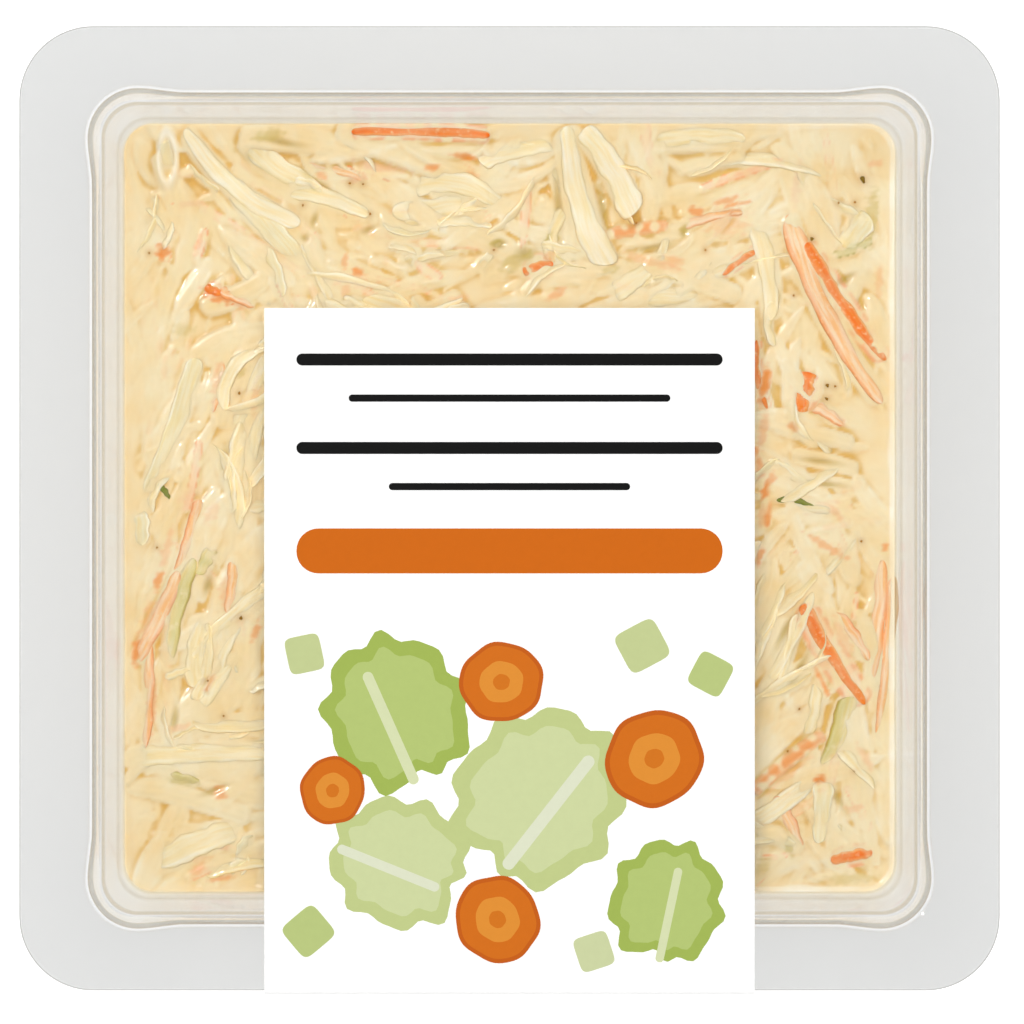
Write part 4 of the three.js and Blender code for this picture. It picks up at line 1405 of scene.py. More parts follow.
SPECKS = np.array(
    [
        # x, y, across, along, turn in degrees
        [45.1, 42.0, 0.7, 1.2, 20], [38.6, 34.4, 0.55, 0.6, 0], [42.0, 39.0, 0.35, 0.4, 0],
        [44.1, 39.1, 0.35, 0.35, 0], [-34.5, 14.7, 0.4, 0.5, 0], [-34.5, 10.0, 0.35, 0.4, 0],
        [16.2, 36.4, 0.3, 0.35, 0], [40.6, 15.7, 0.5, 0.6, 30], [41.6, 15.6, 0.35, 0.35, 0],
        [40.5, 14.0, 0.4, 0.6, 50], [-34.3, -14.0, 0.5, 0.6, 0], [-20.4, 41.5, 0.4, 0.3, 0],
        [-18.7, 41.4, 0.35, 0.25, 0], [-26.4, 38.7, 0.3, 0.4, 0], [-46.0, 32.6, 0.3, 0.3, 0],
        [-17.8, 37.6, 0.3, 0.45, 0], [-30.5, 35.0, 0.3, 0.3, 0], [36.3, 27.2, 0.3, 0.35, 0],
        [44.9, -4.2, 0.4, 0.35, 0], [-2.0, 33.0, 0.3, 0.3, 0], [25.0, 33.0, 0.3, 0.3, 0],
        [-45.0, -5.0, 0.3, 0.35, 0], [-38.5, -22.0, 0.3, 0.3, 0], [37.0, -25.6, 0.3, 0.3, 0],
        [35.5, -31.0, 0.3, 0.35, 0], [44.0, -33.5, 0.3, 0.3, 0], [-36.5, -26.5, 0.3, 0.3, 0],
    ]
)


def segment_gap(points: Array, ends: Array) -> Array:
    """Distance from each point to the nearest of some straight segments.

    Args:
        points: Points in rows of x and y.
        ends: Segments in rows of x0, y0, x1 and y1.

    Returns:
        One distance for each point.
    """
    start, span = ends[:, :2], ends[:, 2:] - ends[:, :2]
    away = points[:, None] - start
    share = np.clip((away * span).sum(-1) / (span**2).sum(-1), 0, 1)
    return np.linalg.norm(away - share[..., None] * span, axis=-1).min(axis=1)


POCKETS = np.array(
    [
        # x, y, half-length, half-width and turn in degrees of deep gaps between shreds
        [15.8, 36.6, 0.9, 0.6, 40], [5.5, 34.2, 0.8, 0.5, 80], [-1.3, 33.8, 0.9, 0.6, 0],
        [1.9, 32.4, 1.3, 0.9, 20], [22.3, 35.3, 0.7, 0.5, 60], [-24.9, 36.9, 0.9, 0.4, 70],
        [-26.1, 34.6, 0.5, 0.4, 0], [-18.0, 35.6, 0.9, 0.4, 20], [-23.6, 41.0, 1.6, 0.35, -40],
        [-30.2, 43.4, 3.6, 0.55, -22], [-28.8, 46.6, 2.4, 0.45, -12],
        [11.9, 38.6, 3.0, 0.45, -78], [6.2, 38.5, 3.6, 0.4, -85], [18.5, 33.3, 2.4, 0.4, 8],
        [-6.5, 41.5, 1.4, 0.4, 10], [-38.5, -9.8, 1.2, 0.5, 75], [-36.4, 6.2, 1.6, 0.4, 80],
        [40.2, 3.1, 2.2, 0.3, -6], [39.6, 6.0, 2.4, 0.35, -8], [35.2, -15.6, 2.6, 0.4, 62],
        [37.0, -20.4, 2.2, 0.4, 60], [42.0, -37.2, 1.6, 0.4, -60], [-42.8, -27.0, 1.8, 0.4, 80],
        [-37.6, -36.0, 1.8, 0.4, 20], [34.0, 26.0, 1.6, 0.4, 70], [43.0, 29.4, 1.2, 0.4, 30],
    ]
)


STAINS = np.array(
    [
        # x, y, half-length, half-width, turn in degrees, strength and tint of shreds that
        # show through the dressing: 0 pale carrot, 1 carrot, 2 green leaf, 3 faint carrot
        [-44.2, 32.8, 1.0, 0.9, 0, 0.8, 1], [-39.7, 33.9, 1.8, 0.4, 70, 0.6, 0],
        [-40.7, 38.8, 1.5, 0.5, 5, 0.35, 3], [-37.0, 27.1, 2.0, 0.9, -20, 0.85, 1],
        [-34.5, 26.1, 1.2, 0.6, -30, 0.7, 0], [-16.6, 43.5, 3.3, 0.6, -10, 0.6, 3],
        [-19.4, 42.2, 1.5, 0.5, 10, 0.6, 3], [-23.8, 42.4, 0.8, 0.5, -40, 0.5, 1],
        [-10.0, 43.4, 1.0, 0.5, 0, 0.7, 1], [-4.7, 42.4, 1.0, 0.6, -40, 0.4, 1],
        [-5.7, 44.8, 1.8, 0.4, -8, 0.75, 1], [-14.3, 37.9, 1.2, 0.4, 0, 0.45, 0],
        [-21.0, 31.6, 1.0, 0.4, 80, 0.5, 1], [-19.4, 30.2, 0.8, 0.6, 0, 0.8, 1],
        [-21.0, 27.8, 0.9, 0.5, 70, 0.5, 0], [-6.6, 26.8, 1.5, 0.5, 10, 0.4, 0],
        [-1.6, 33.8, 0.8, 0.5, 0, 0.7, 2], [-30.6, 47.5, 2.0, 0.8, 10, 0.5, 2],
        [-25.9, 42.1, 2.6, 0.6, -40, 0.6, 2], [0.1, 31.1, 1.5, 1.0, 30, 0.5, 2],
        [5.1, 32.1, 0.9, 0.6, 40, 0.6, 1], [5.9, 27.3, 1.3, 0.6, 30, 0.5, 1],
        [5.4, 34.4, 0.8, 0.8, 0, 0.8, 2], [2.4, 32.3, 0.9, 0.5, 30, 0.6, 2],
        [20.8, 31.4, 1.5, 0.8, -10, 0.6, 0], [23.7, 37.9, 1.2, 0.6, -20, 0.75, 1],
        [27.6, 36.6, 2.8, 2.0, 0, 0.4, 0], [28.6, 37.9, 1.0, 0.5, 10, 0.6, 1],
        [27.6, 39.3, 2.0, 0.4, 15, 0.6, 1], [30.8, 43.0, 4.3, 0.6, 22, 0.5, 0],
        [36.6, 41.3, 2.8, 0.6, 85, 0.35, 3], [46.7, 44.0, 1.0, 0.5, 0, 0.5, 0],
        [47.2, 28.9, 2.3, 0.5, 85, 0.4, 0], [46.3, 37.5, 3.3, 0.9, 85, 0.5, 2],
        [22.3, 35.5, 0.6, 0.6, 0, 0.6, 2], [12.8, 30.5, 1.5, 0.5, 10, 0.45, 2],
        [18.0, 31.5, 3.8, 0.6, -18, 0.45, 0], [15.0, 28.3, 1.5, 0.5, 0, 0.4, 0],
        [-37.4, 16.4, 2.8, 0.6, 82, 0.5, 0], [-40.9, 1.3, 1.8, 1.2, 60, 0.35, 3],
        [-38.0, -0.5, 1.5, 0.8, 60, 0.35, 0], [-43.8, -5.3, 2.6, 0.6, 78, 0.5, 0],
        [-44.9, -9.2, 1.2, 0.5, 70, 0.75, 1], [-32.4, 14.4, 2.6, 0.5, 85, 0.4, 0],
        [-47.6, -18.1, 1.8, 0.6, 85, 0.85, 1], [-46.0, -14.3, 2.8, 1.0, 78, 0.5, 0],
        [-45.7, -25.3, 3.6, 0.6, 86, 0.5, 1], [-38.3, -22.3, 1.0, 0.5, 60, 0.6, 1],
        [-42.3, -28.0, 1.5, 0.5, 20, 0.45, 0], [-36.9, -36.4, 1.0, 0.8, -60, 0.6, 1],
        [-36.4, -43.3, 0.9, 0.5, 0, 0.5, 0], [-39.8, -46.2, 1.5, 0.6, 40, 0.6, 0],
        [-36.9, -47.3, 1.5, 0.4, 10, 0.5, 1], [-41.5, -34.7, 1.8, 0.8, -5, 0.6, 2],
        [-36.0, -10.4, 2.3, 0.9, 82, 0.5, 0], [-32.4, -15.7, 1.5, 0.5, 70, 0.6, 1],
        [32.4, 15.3, 2.8, 0.6, 80, 0.85, 1], [32.3, 9.9, 2.3, 0.6, 80, 0.6, 0],
        [36.1, 10.4, 0.8, 0.5, -30, 0.6, 1], [41.4, 11.5, 1.8, 0.6, -30, 0.6, 0],
        [33.1, 3.4, 1.3, 0.5, 60, 0.6, 1], [41.6, -0.5, 1.5, 0.5, -50, 0.5, 0],
        [32.2, -1.0, 1.3, 0.5, 80, 0.5, 0], [32.0, -6.0, 1.3, 0.5, 75, 0.7, 1],
        [40.6, -4.9, 3.1, 0.5, -32, 0.5, 1], [48.0, -4.9, 0.5, 0.5, 0, 0.7, 1],
        [40.1, -19.7, 1.0, 0.8, 0, 0.5, 0], [42.6, -16.6, 2.8, 0.8, -70, 0.45, 0],
        [35.2, -36.9, 1.0, 0.4, 70, 0.5, 0], [36.6, -38.3, 1.5, 0.6, 30, 0.35, 0],
        [45.3, -31.7, 1.8, 0.5, -60, 0.45, 0], [44.0, -38.3, 1.3, 0.5, 10, 0.45, 0],
        [39.6, -34.6, 0.8, 0.6, 30, 0.9, 1], [35.7, -43.3, 1.2, 0.5, -70, 0.5, 2],
        [32.4, -45.7, 1.3, 0.8, 60, 0.4, 2], [35.9, -33.7, 3.3, 0.5, 40, 0.4, 0],
        [43.5, -47.3, 3.3, 0.8, 5, 0.35, 2], [-41.7, 22.8, 1.3, 1.0, 0, 0.35, 2],
        [-35.0, 17.4, 1.3, 0.8, 0, 0.5, 2], [-39.6, -45.0, 1.3, 1.0, 0, 0.3, 0],
    ]
)


@dataclass
class Salad:
    """The dressed shreds in the tub: the open surface, the sides, and bare shreds on top."""

    seed: int = 29
    steps: int = 400  # cells across the surface
    into_wall: float = 0.12  # the salad reaches this far into the sheet, so no gap shows
    hidden: tuple[float, float, float] = (29.0, -47.5, 23.4)  # half x, y from and to
    block: int = 8  # cells merged into one under the label
    back_rise: float = 1.8  # how far it is heaped up along the back wall
    covered: tuple[float, float] = (28.0, 22.0)  # half x and y up to which the label hides all
    strew_half: float = 48.5
    strips_seen: int = 1000
    strips_hidden: int = 90
    small_from: float = 0.35  # share of the strips after which they are small
    crumbs_from: float = 0.6
    strips_wall: int = 820
    strips_base: int = 260
    bare_shreds: int = 130
    bare_from: float = 1.4  # narrower placed shreds stay under the dressing
    joint: int = 6  # rings over which the base's and the sides' shreds run into each other

    def top_canvas(self) -> Canvas:
        """The open surface as a canvas in x and y, evenly spaced and rounded at the corners."""
        half_x = FOOD_HALF + self.into_wall
        half_y = half_x - SHORT_IN_Y
        u, v = np.meshgrid(
            np.linspace(-half_x, half_x, self.steps + 1),
            np.linspace(-half_y, half_y, self.steps + 1),
            indexing="ij",
        )
        xy = rounded_square(u, v, half_x, half_y, FOOD_CORNER + self.into_wall)
        canvas = Canvas(xy[..., 0], xy[..., 1])
        canvas.back_rise = self.back_rise
        canvas.height += canvas.heap(canvas.v)
        return canvas

    def fill(self, canvas: Canvas) -> None:
        """Strew the surface with soft random shreds that follow the lie, deep ones first.

        From about a third on they are small, and the last two fifths are crumbs.
        """
        draw = np.random.default_rng(self.seed)
        odds = dict(zip((Kind.CABBAGE, Kind.CREAM, Kind.COATED), (0.36, 0.36, 0.2)))
        odds |= {Kind.PEACH: 0.05, Kind.PINK: 0.03}
        wide, back = self.covered
        for number in range(self.strips_seen + self.strips_hidden):
            place = draw.uniform(-self.strew_half, self.strew_half, 2)
            while abs(place[0]) < wide and place[1] < back and number < self.strips_seen:
                place = draw.uniform(-self.strew_half, self.strew_half, 2)
            kind = drawn(draw, odds)
            turn = math.radians(lie(*place) + draw.normal(0, 22))
            small = number > self.strips_seen * self.small_from
            crumb = number > self.strips_seen * self.crumbs_from
            length = draw.uniform(4.0, 10.0) if small else draw.uniform(8.0, 20.0)
            width = draw.uniform(0.8, 2.0) if small else draw.uniform(2.0, 4.6)
            if kind in (Kind.PINK, Kind.PEACH):
                width = draw.uniform(0.7, 1.7)
            if crumb:
                length, width = 0.45 * length, 0.5 * width
            strip = Strip(
                kind, *ends_of(place, turn, length), width,
                bow=draw.normal(0, 0.09) * length,
                rise=draw.uniform(0.12, 0.3) * (0.45 if crumb else min(width, 1.6)),
                level=draw.normal(-0.12, 0.18) + (0.1 if crumb else 0.0),
                hold=0.25 if crumb else 0.55,
                taper=draw.uniform(0.3, 0.9),
                blunt=draw.uniform(0.3, 1.5),
                soft=draw.uniform(0.2, 0.45) * (0.5 if crumb else 1.0),
                tilt=draw.normal(0, 0.16),
            )
            canvas.press(strip)

    def strewn(self) -> list[Shred]:
        """Random bare cabbage shreds that follow the lie and keep off the coloured ones.

        A draw is dropped where an end would reach the wall, where it lies under the label,
        or where more than two of its seven test points come near a coloured shred.
        """
        draw = np.random.default_rng(self.seed + 5)
        coloured = [strip for strip in PLACED if strip.kind not in (Kind.CABBAGE, Kind.CREAM)]
        ends = np.array([[*s.start, *s.end] for s in [*coloured, *CARROTS, *BROAD]])
        odds = {Kind.CABBAGE: 0.42, Kind.WHITE: 0.2, Kind.CREAM: 0.3, Kind.RIB: 0.08}
        shreds: list[Shred] = []
        while len(shreds) < self.bare_shreds:
            place = draw.uniform(-48, 48, 2)
            kind = drawn(draw, odds)
            turn = math.radians(lie(*place) + draw.normal(0, 24))
            small = len(shreds) > self.bare_shreds * 0.5
            length = draw.uniform(3.0, 8.0) if small else draw.uniform(7.0, 16.0)
            width = draw.uniform(0.8, 1.9) if small else draw.uniform(1.7, 3.8)
            start, end = ends_of(place, turn, length)
            line = np.linspace(start, end, 7)
            seen = (np.abs(line[:, 0]) > self.covered[0]) | (line[:, 1] > self.covered[1] + 1)
            if np.abs(line).max() > 47.6 or seen.sum() < 3:
                continue
            if (segment_gap(line, ends) < 0.5 + width / 2).sum() > 2:
                continue
            shred = Shred(
                kind, start, end, width, draw.uniform(0.6, 1.1),
                bow=draw.normal(0, 0.1) * length,
                proud=draw.uniform(0.2, 0.6),
                tip=draw.choice([2.5, 4.0, 9.0, 16.0]),
                narrow=draw.uniform(0.0, 0.6),
                lean=draw.normal(0, 0.32),
                curl=draw.choice([0.0, 0.0, 0.12]),
                dive=tuple(draw.choice([0.0, 0.4, 0.9], 2)),
                skew=draw.normal(0, 0.45),
                level=draw.normal(0.0, 0.2),
                border=draw.choice([0.94, 1.2, 1.35]),
                step=draw.choice([0.3, 0.16, 0.1, 0.05]),
            )
            shreds.append(shred)
        return shreds

    def dress(self, canvas: Canvas) -> None:
        """Pour the dressing: it fills the hollows, mostly along the walls and at the left."""
        to_wall = FOOD_HALF - np.maximum(np.abs(canvas.u), np.abs(canvas.v))
        level = -0.32 + 0.55 * np.exp(-np.maximum(to_wall, 0) / 2.2) + canvas.heap(canvas.v)
        pools = [
            # x, y, reach along x and y, depth
            (-46, 20, 4.0, 22, 0.45), (47, 5, 3.0, 30, 0.4), (44, 43, 6, 5, 0.35),
            (-38, -44, 10, 5, 0.4), (-34, -24, 4, 5, 0.3), (42, -2, 5, 5, 0.2),
            (0, 48, 30, 1.6, 0.25), (-44, 38, 3.5, 6, 0.35), (44, 12, 4, 5, 0.3),
        ]
        for x, y, wide, deep, depth in pools:
            level += depth * np.exp(-(((canvas.u - x) / wide) ** 2) - ((canvas.v - y) / deep) ** 2)
        level += 0.06 * ripples(canvas.u, canvas.v, 5.0, 8)
        canvas.flood(level, soft=0.3, cover=0.8)

    def lay(self, canvas: Canvas, shred: Shred, number: int) -> Surface:
        """Lay one bare shred and let the dressing rise against its sides.

        It is a bar along a bowed line. At a share s of its length, from -1 to 1, its
        half-width is width / 2 * (1 - |s|^tip)^(1/2), its back lies at what carries it plus
        its proud height less dive * s^4, and across it lean and curl add a slope and a
        square.

        Args:
            canvas: The surface so far; the shred's bed is pressed into it.
            shred: The shred.
            number: Its place in the order, which varies its wobble.

        Returns:
            Its closed surface, with the layers "strand" and "tint".
        """
        middle, _, length, unit = course(shred)
        bed = Strip(
            shred.bed, shred.start, shred.end, shred.width * shred.border,
            bow=shred.bow, rise=max(shred.proud - shred.step, 0.04), level=shred.level,
            hold=shred.hold, taper=0.2, blunt=0.5, soft=0.26,
        )
        share = -np.cos(np.linspace(0.06, math.pi - 0.06, 30 if length > 7 else 18))
        rest = canvas.base(bed, share)
        canvas.press(bed)
        swell = np.sqrt(np.clip(1 - np.abs(share) ** shred.tip, 0, 1))
        taper = 1 - shred.narrow * (share + 1) / 2
        wobble = 1 + 0.06 * np.sin(share * 7 + number) + 0.045 * np.sin(share * 17 + 2 * number)
        wobble += shred.ragged * np.sin(share * 31 + 5 * number) * np.cos(share * 13 + number)
        half = shred.width / 2 * swell * taper * wobble
        thick = shred.thick / 2 * (0.35 + 0.65 * swell)
        bowed = shred.bow * (1 - share**2) + 0.06 * np.sin(share * 9 + number)
        across = half[:, None] * SECTION[:, 0]
        slide = share[:, None] * length / 2 + shred.skew * across * np.abs(share[:, None]) ** 6
        side = bowed[:, None] + across
        sink = np.where(share < 0, *shred.dive) * share**4
        back = FOOD_LEVEL + rest + shred.proud - sink + 0.05 * np.sin(share * 6 + 3 * number)
        slope = shred.lean * SECTION[:, 0] + shred.curl * SECTION[:, 0] ** 2
        x = middle[0] + slide * unit[0] - side * unit[1]
        y = middle[1] + slide * unit[1] + side * unit[0]
        z = (back - thick)[:, None] + thick[:, None] * SECTION[:, 1] + slope
        made = skin(np.stack([x, y, z], -1)).facing_out()
        strand = np.stack([slide, across, np.full(x.shape, float(number))], -1).reshape(-1, 3)
        ends = np.array([[-length / 2, 0, number], [length / 2, 0, number]], float)
        made.layers["strand"] = np.concatenate([strand, ends])
        made.layers["tint"] = self.shred_tint(shred, share, number)
        return made

    def shred_tint(self, shred: Shred, share: Array, number: int) -> Array:
        """Tint of a bare shred: its core, a painted highlight along its edges, strongest on the raised
        side, and painted warm shade on its flanks, drifting along it.
        """
        look = shred.kind.value
        across, up = SECTION.T
        # painted highlight: the raised long edge takes the full edge colour, the lower one less
        lit = np.where(across * (shred.lean + 0.01) > 0, 1.0, 0.45)
        edge = (smooth((np.abs(across) - look.edge_from) / 0.2) * lit)[:, None]
        own = rgb(look.core) * (1 - edge) + rgb(look.edge) * edge
        own = own * (1 + 0.03 * np.sin(share * 5 + number * 1.7))[:, None, None]
        # painted shade on the steep sides and the underside
        flank_shade = smooth((0.75 - up) / 0.7)[:, None] * look.flank_shade
        own += (FLANK_SHADE - own) * flank_shade
        caps = np.broadcast_to(rgb(look.core), (2, 3))
        return np.clip(np.concatenate([own.reshape(-1, 3), caps]), 0, 1)

    def settle(self, canvas: Canvas, laid: list[Surface], keep: float) -> Surface:
        """Join laid shreds, let their colour fade where they go under the dressing, and paint shade on
        them where they lie below their surroundings.

        Args:
            canvas: The finished surface.
            laid: The shreds.
            keep: Share of its own colour that a shred keeps where it is sunk.

        Returns:
            All of them as one surface.
        """
        whole = reduce(Surface.joined, laid)
        height = whole.points[:, 2] - FOOD_LEVEL
        gap = height - canvas.under(canvas.height, whole.points)
        cover = keep + (1 - keep) * smooth((gap + 0.04) / 0.34)
        # painted shade on shreds that lie lower than what is round them
        low = 0.45 * smooth((canvas.under(canvas.around, whole.points) - height) / 0.45)
        ground = canvas.under(canvas.tint, whole.points)
        tint = ground + (whole.layers["tint"] - ground) * cover[:, None]
        whole.layers["tint"] = tint + (CREVICE_SHADE - tint) * (low * (1 - keep))[:, None]
        return whole

    def loop(self, canvas: Canvas) -> None:
        """A cut leaf's curl at the back left: a raised oval ring round a hollow."""
        off_u, off_v = (canvas.u + 43.6) / 1.15, (canvas.v - 44.6) / 3.2
        ring = np.exp(-(((np.hypot(off_u, off_v) - 1) / 0.22) ** 2))
        canvas.height += 0.5 * ring
        canvas.paint(rgb("#FDF6E2"), 0.8 * ring)

    def finish_top(self, canvas: Canvas) -> None:
        """Meniscus along the wall, with a painted highlight line where dressing meets it, strongest
        along the right wall.
        """
        half = FOOD_HALF + self.into_wall
        corner = FOOD_CORNER + self.into_wall
        over = np.stack(
            [np.abs(canvas.u) - (half - corner), np.abs(canvas.v) - (half - SHORT_IN_Y - corner)],
            -1,
        )
        outside = np.linalg.norm(np.maximum(over, 0), axis=-1)
        to_wall = corner - outside - np.minimum(over.max(axis=-1), 0)
        canvas.height += 0.5 * np.exp(-np.maximum(to_wall - self.into_wall, 0) / 0.45)
        wave = ripples(canvas.u, canvas.v, 9.0, 17)
        line = smooth((self.into_wall + 0.62 + 0.1 * wave - to_wall) / 0.2)
        # the painted highlight is strongest on the right, whose meniscus faces the lamps at the left
        facing = smooth((canvas.u - 0.4 * canvas.v - 6) / 24) * (0.85 + 0.15 * wave) + 0.08
        canvas.paint(MENISCUS_HIGHLIGHT, np.clip(facing, 0, 1) * line)

    def pit(self, canvas: Canvas) -> None:
        """Sink the deep gaps, soft oval hollows with a painted olive shadow on their floor where no
        light comes.
        """
        for row in POCKETS:
            spot, along, side = canvas.oval(row, 2.5)
            share = np.exp(-(along**2) - side**2)
            canvas.height[spot] -= 0.45 * share
            canvas.paint(POCKET_SHADOW, 0.75 * share, spot)

    def stain(self, canvas: Canvas) -> None:
        """Let the shreds just under the dressing show: soft ovals, broken up by its patches."""
        grain = 0.6 * ripples(canvas.u, canvas.v, 0.9, 51) + 0.4 * ripples(canvas.u, canvas.v, 2.2, 52)
        for row in STAINS:
            spot, along, side = canvas.oval(row, 1.9)
            away = np.hypot(along, side) + 0.35 * grain[spot]
            strength, tint = row[5], int(row[6])
            canvas.paint(STAIN_TINTS[tint], strength * smooth((1.35 - away) / 0.9), spot)

    def halos(self, canvas: Canvas) -> None:
        """Stain the dressing a little round each speck."""
        for x, y, across, along, _ in SPECKS:
            reach = 0.45 + (across + along) / 2
            spot = canvas.near((x, y), 2 * reach)
            near = np.hypot(canvas.u[spot] - x, canvas.v[spot] - y) / reach
            canvas.paint(SPECK_HALO, 0.5 * np.exp(-(near**2) * 2), spot)

    def dressed_top(self) -> tuple[Canvas, dict[str, Surface]]:
        """The whole open surface, and the bare shreds on it as surfaces by name.

        Soft shreds are strewn, then bare ones, then dressing is poured; the placed shreds
        come last, and all colours are settled against the finished relief.
        """
        canvas = self.top_canvas()
        self.fill(canvas)
        cabbage = [self.lay(canvas, shred, n) for n, shred in enumerate(self.strewn())]
        self.dress(canvas)
        bare = [s for s in PLACED if s.kind not in SOFT and s.width >= self.bare_from]
        for strip in PLACED:
            if strip not in bare:
                canvas.press(strip)
        carrots: list[Surface] = []
        for strip in bare:
            pile = carrots if strip.kind is Kind.PINK else cabbage
            number = len(cabbage) + len(carrots)
            pile.append(self.lay(canvas, self.bared(strip, number), number))
        cabbage += [self.lay(canvas, shred, BROAD_FROM + n) for n, shred in enumerate(BROAD)]
        carrots += [self.lay(canvas, shred, n) for n, shred in enumerate(CARROTS)]
        leaves = [self.lay(canvas, shred, n) for n, shred in enumerate(LEAVES)]
        self.loop(canvas)
        canvas.height = 0.35 * canvas.height + 0.65 * canvas.blurred(canvas.height, 1)
        canvas.shade_relief(steps=10, deep=0.22, crest=0.4, ochre=0.95)
        self.pit(canvas)
        self.stain(canvas)
        self.halos(canvas)
        self.finish_top(canvas)
        return canvas, {
            "cabbage_shreds": self.settle(canvas, cabbage, keep=0.1),
            "carrot_shreds": self.settle(canvas, carrots, keep=0.6),
            "leaf_slivers": self.settle(canvas, leaves, keep=0.9),
        }

    def bared(self, strip: Strip, number: int) -> Shred:
        """A placed strip as a bare shred, leaning and sinking a little by turns."""
        turn = number % 4
        return Shred(
            strip.kind, strip.start, strip.end, strip.width, 0.8,
            bow=strip.bow, proud=0.25 + 0.3 * strip.rise, tip=(6.0, 10.0, 4.0, 14.0)[turn],
            narrow=(0.1, 0.3, 0.2, 0.4)[turn], lean=(0.15, -0.2, 0.25, -0.1)[turn],
            curl=0.08 if strip.kind is Kind.RIB else 0.0, dive=(0.0, 0.5) if turn < 2 else (0.4, 0.0),
            skew=(0.3, -0.4, 0.2, -0.2)[turn], level=strip.level * 0.7, hold=0.7,
        )

    def top_surface(self, canvas: Canvas) -> Surface:
        """The open surface as a closed slab.

        Cells under the label are merged into blocks, with a ring of triangles between the
        fine and the coarse grid. A skirt goes down inside the wall and a fan closes it.
        """
        count = self.steps + 1
        numbers = np.arange(count * count).reshape(count, count)
        points = np.stack([canvas.u, canvas.v, FOOD_LEVEL + canvas.height], -1).reshape(-1, 3)
        half = FOOD_HALF + self.into_wall
        cell = 2 * half / self.steps
        wide, low, high = self.hidden
        first = int((half - wide) / cell) // self.block * self.block
        last = self.steps - first
        near = int((half + low) / cell) // self.block * self.block + self.block
        far = int((half + high) / cell) // self.block * self.block
        cells = sheet_quads(numbers).reshape(self.steps, self.steps, 4)
        keep = np.ones((self.steps, self.steps), bool)
        keep[first:last, near:far] = False
        coarse = numbers[first : last + 1 : self.block, near : far + 1 : self.block]
        outer = edge_loop(numbers[first : last + 1, near : far + 1])
        inner = edge_loop(coarse[1:-1, 1:-1])
        rim = edge_loop(numbers)
        drops = np.array([[0.14, -0.9], [1.2, -1.6], [3.0, -1.8]])
        away = points[rim] - np.array([0, 0, FOOD_LEVEL])
        skirts = [
            np.column_stack([
                away[:, 0] * (1 - inset / half),
                away[:, 1] * (1 - inset / half),
                np.full(len(rim), FOOD_LEVEL + fall),
            ])
            for inset, fall in drops[::-1]
        ]
        below = len(points) + np.arange(len(drops) * len(rim)).reshape(len(drops), -1)
        centre = len(points) + below.size
        body = Surface(
            np.concatenate([points, *skirts, [[0.0, 0.0, FOOD_LEVEL + drops[-1, 1]]]]),
            np.concatenate([
                cells[keep],
                sheet_quads(coarse[1:-1, 1:-1]),
                band(np.concatenate([below, rim[None]])),
            ]),
            np.concatenate([self.stitch(outer, inner), fan(centre, below[0])[:, ::-1]]),
        )
        tint = canvas.tint.reshape(-1, 3)
        extra = np.broadcast_to(DRESSING_TINT, (below.size + 1, 3))
        body.layers["tint"] = np.concatenate([tint, extra])
        return body.without_spares()

    def stitch(self, outer: Array, inner: Array) -> Array:
        """Triangles between a fine ring and a coarse one inside it.

        Each fine edge goes to the coarse vertex at the same share of the way round, and
        where that vertex changes one more triangle fills the step.
        """
        share = (np.arange(len(outer)) + 0.5) / len(outer)
        match = np.round(share * len(inner)).astype(int) % len(inner)
        following = np.roll(match, -1)
        far = np.roll(outer, -1)
        spokes = np.stack([outer, far, inner[match]], -1)
        change = match != following
        steps = np.stack([far[change], inner[following[change]], inner[match[change]]], -1)
        return np.concatenate([spokes, steps])

    def body_surface(self) -> Surface:
        """Sides and underside: rings from the base's middle up to the surface.

        A ring's half-width follows the flat base, a quarter circle and then the tapered
        wall, all a little inside the sheet. Shreds are laid on the unrolled sides, and on
        the base in x and y, and show as very slight hollows.
        """
        floor = Tub.sheet - self.into_wall
        rise = np.linspace(floor + Tub.base_round, FOOD_LEVEL - 0.75, 68)
        turn = np.linspace(0, math.pi / 2, 9)[:-1]
        round_half = wall_half(floor + Tub.base_round)
        inset = Tub.base_round * (1 - np.sin(turn))
        fillet_z = floor + Tub.base_round * (1 - np.cos(turn))
        flat = np.linspace(1.0, round_half - Tub.base_round - 0.3, 34)
        panel = round_half - Tub.base_round - Tub.panel_inset
        flat_z = floor + Tub.panel_rise * smooth((panel - flat) / 1.4)
        half = np.concatenate([flat, round_half - inset, wall_half(rise)])
        z = np.concatenate([flat_z, fillet_z, rise])
        corner = np.interp(z, [0, FOOD_LEVEL], [Tub.base_corner, FOOD_CORNER])
        corner = np.minimum(corner - np.clip(round_half - half, 0, None) * 0.6, half * 0.4)
        corner = np.maximum(corner, np.minimum(half * 0.12, 3.0)) + self.into_wall
        half += self.into_wall
        rings = rounded_outline(half, half - SHORT_IN_Y, corner, np.zeros_like(half), Meshing(14, 150))
        side = len(flat) + len(turn)
        run = np.linalg.norm(np.diff(rings[-1], axis=0, append=rings[-1][:1]), axis=1)
        s = np.concatenate([[0], np.cumsum(run)[:-1]])
        around, up = np.meshgrid(s, z[side - self.joint :], indexing="ij")
        walls = Canvas(around.T.copy(), up.T.copy(), cyclic=True, seed=41)
        self.fill_walls(walls, run.sum())
        under = Canvas(rings[:side, :, 0], rings[:side, :, 1], cyclic=True, seed=43)
        self.fill_base(under)
        steep = np.concatenate([np.zeros(len(flat)), np.sin(turn), np.ones(len(rise))])[:, None]
        outward = rings / np.abs(rings).max(axis=2, keepdims=True)
        sunk = self.run_together(self.sunk(under, 0.3), self.sunk(walls, 0.35))
        moved = rings + outward * (sunk * steep)[..., None]
        height = z[:, None] - sunk * (1 - steep)
        grid = np.concatenate([moved, height[..., None]], -1)
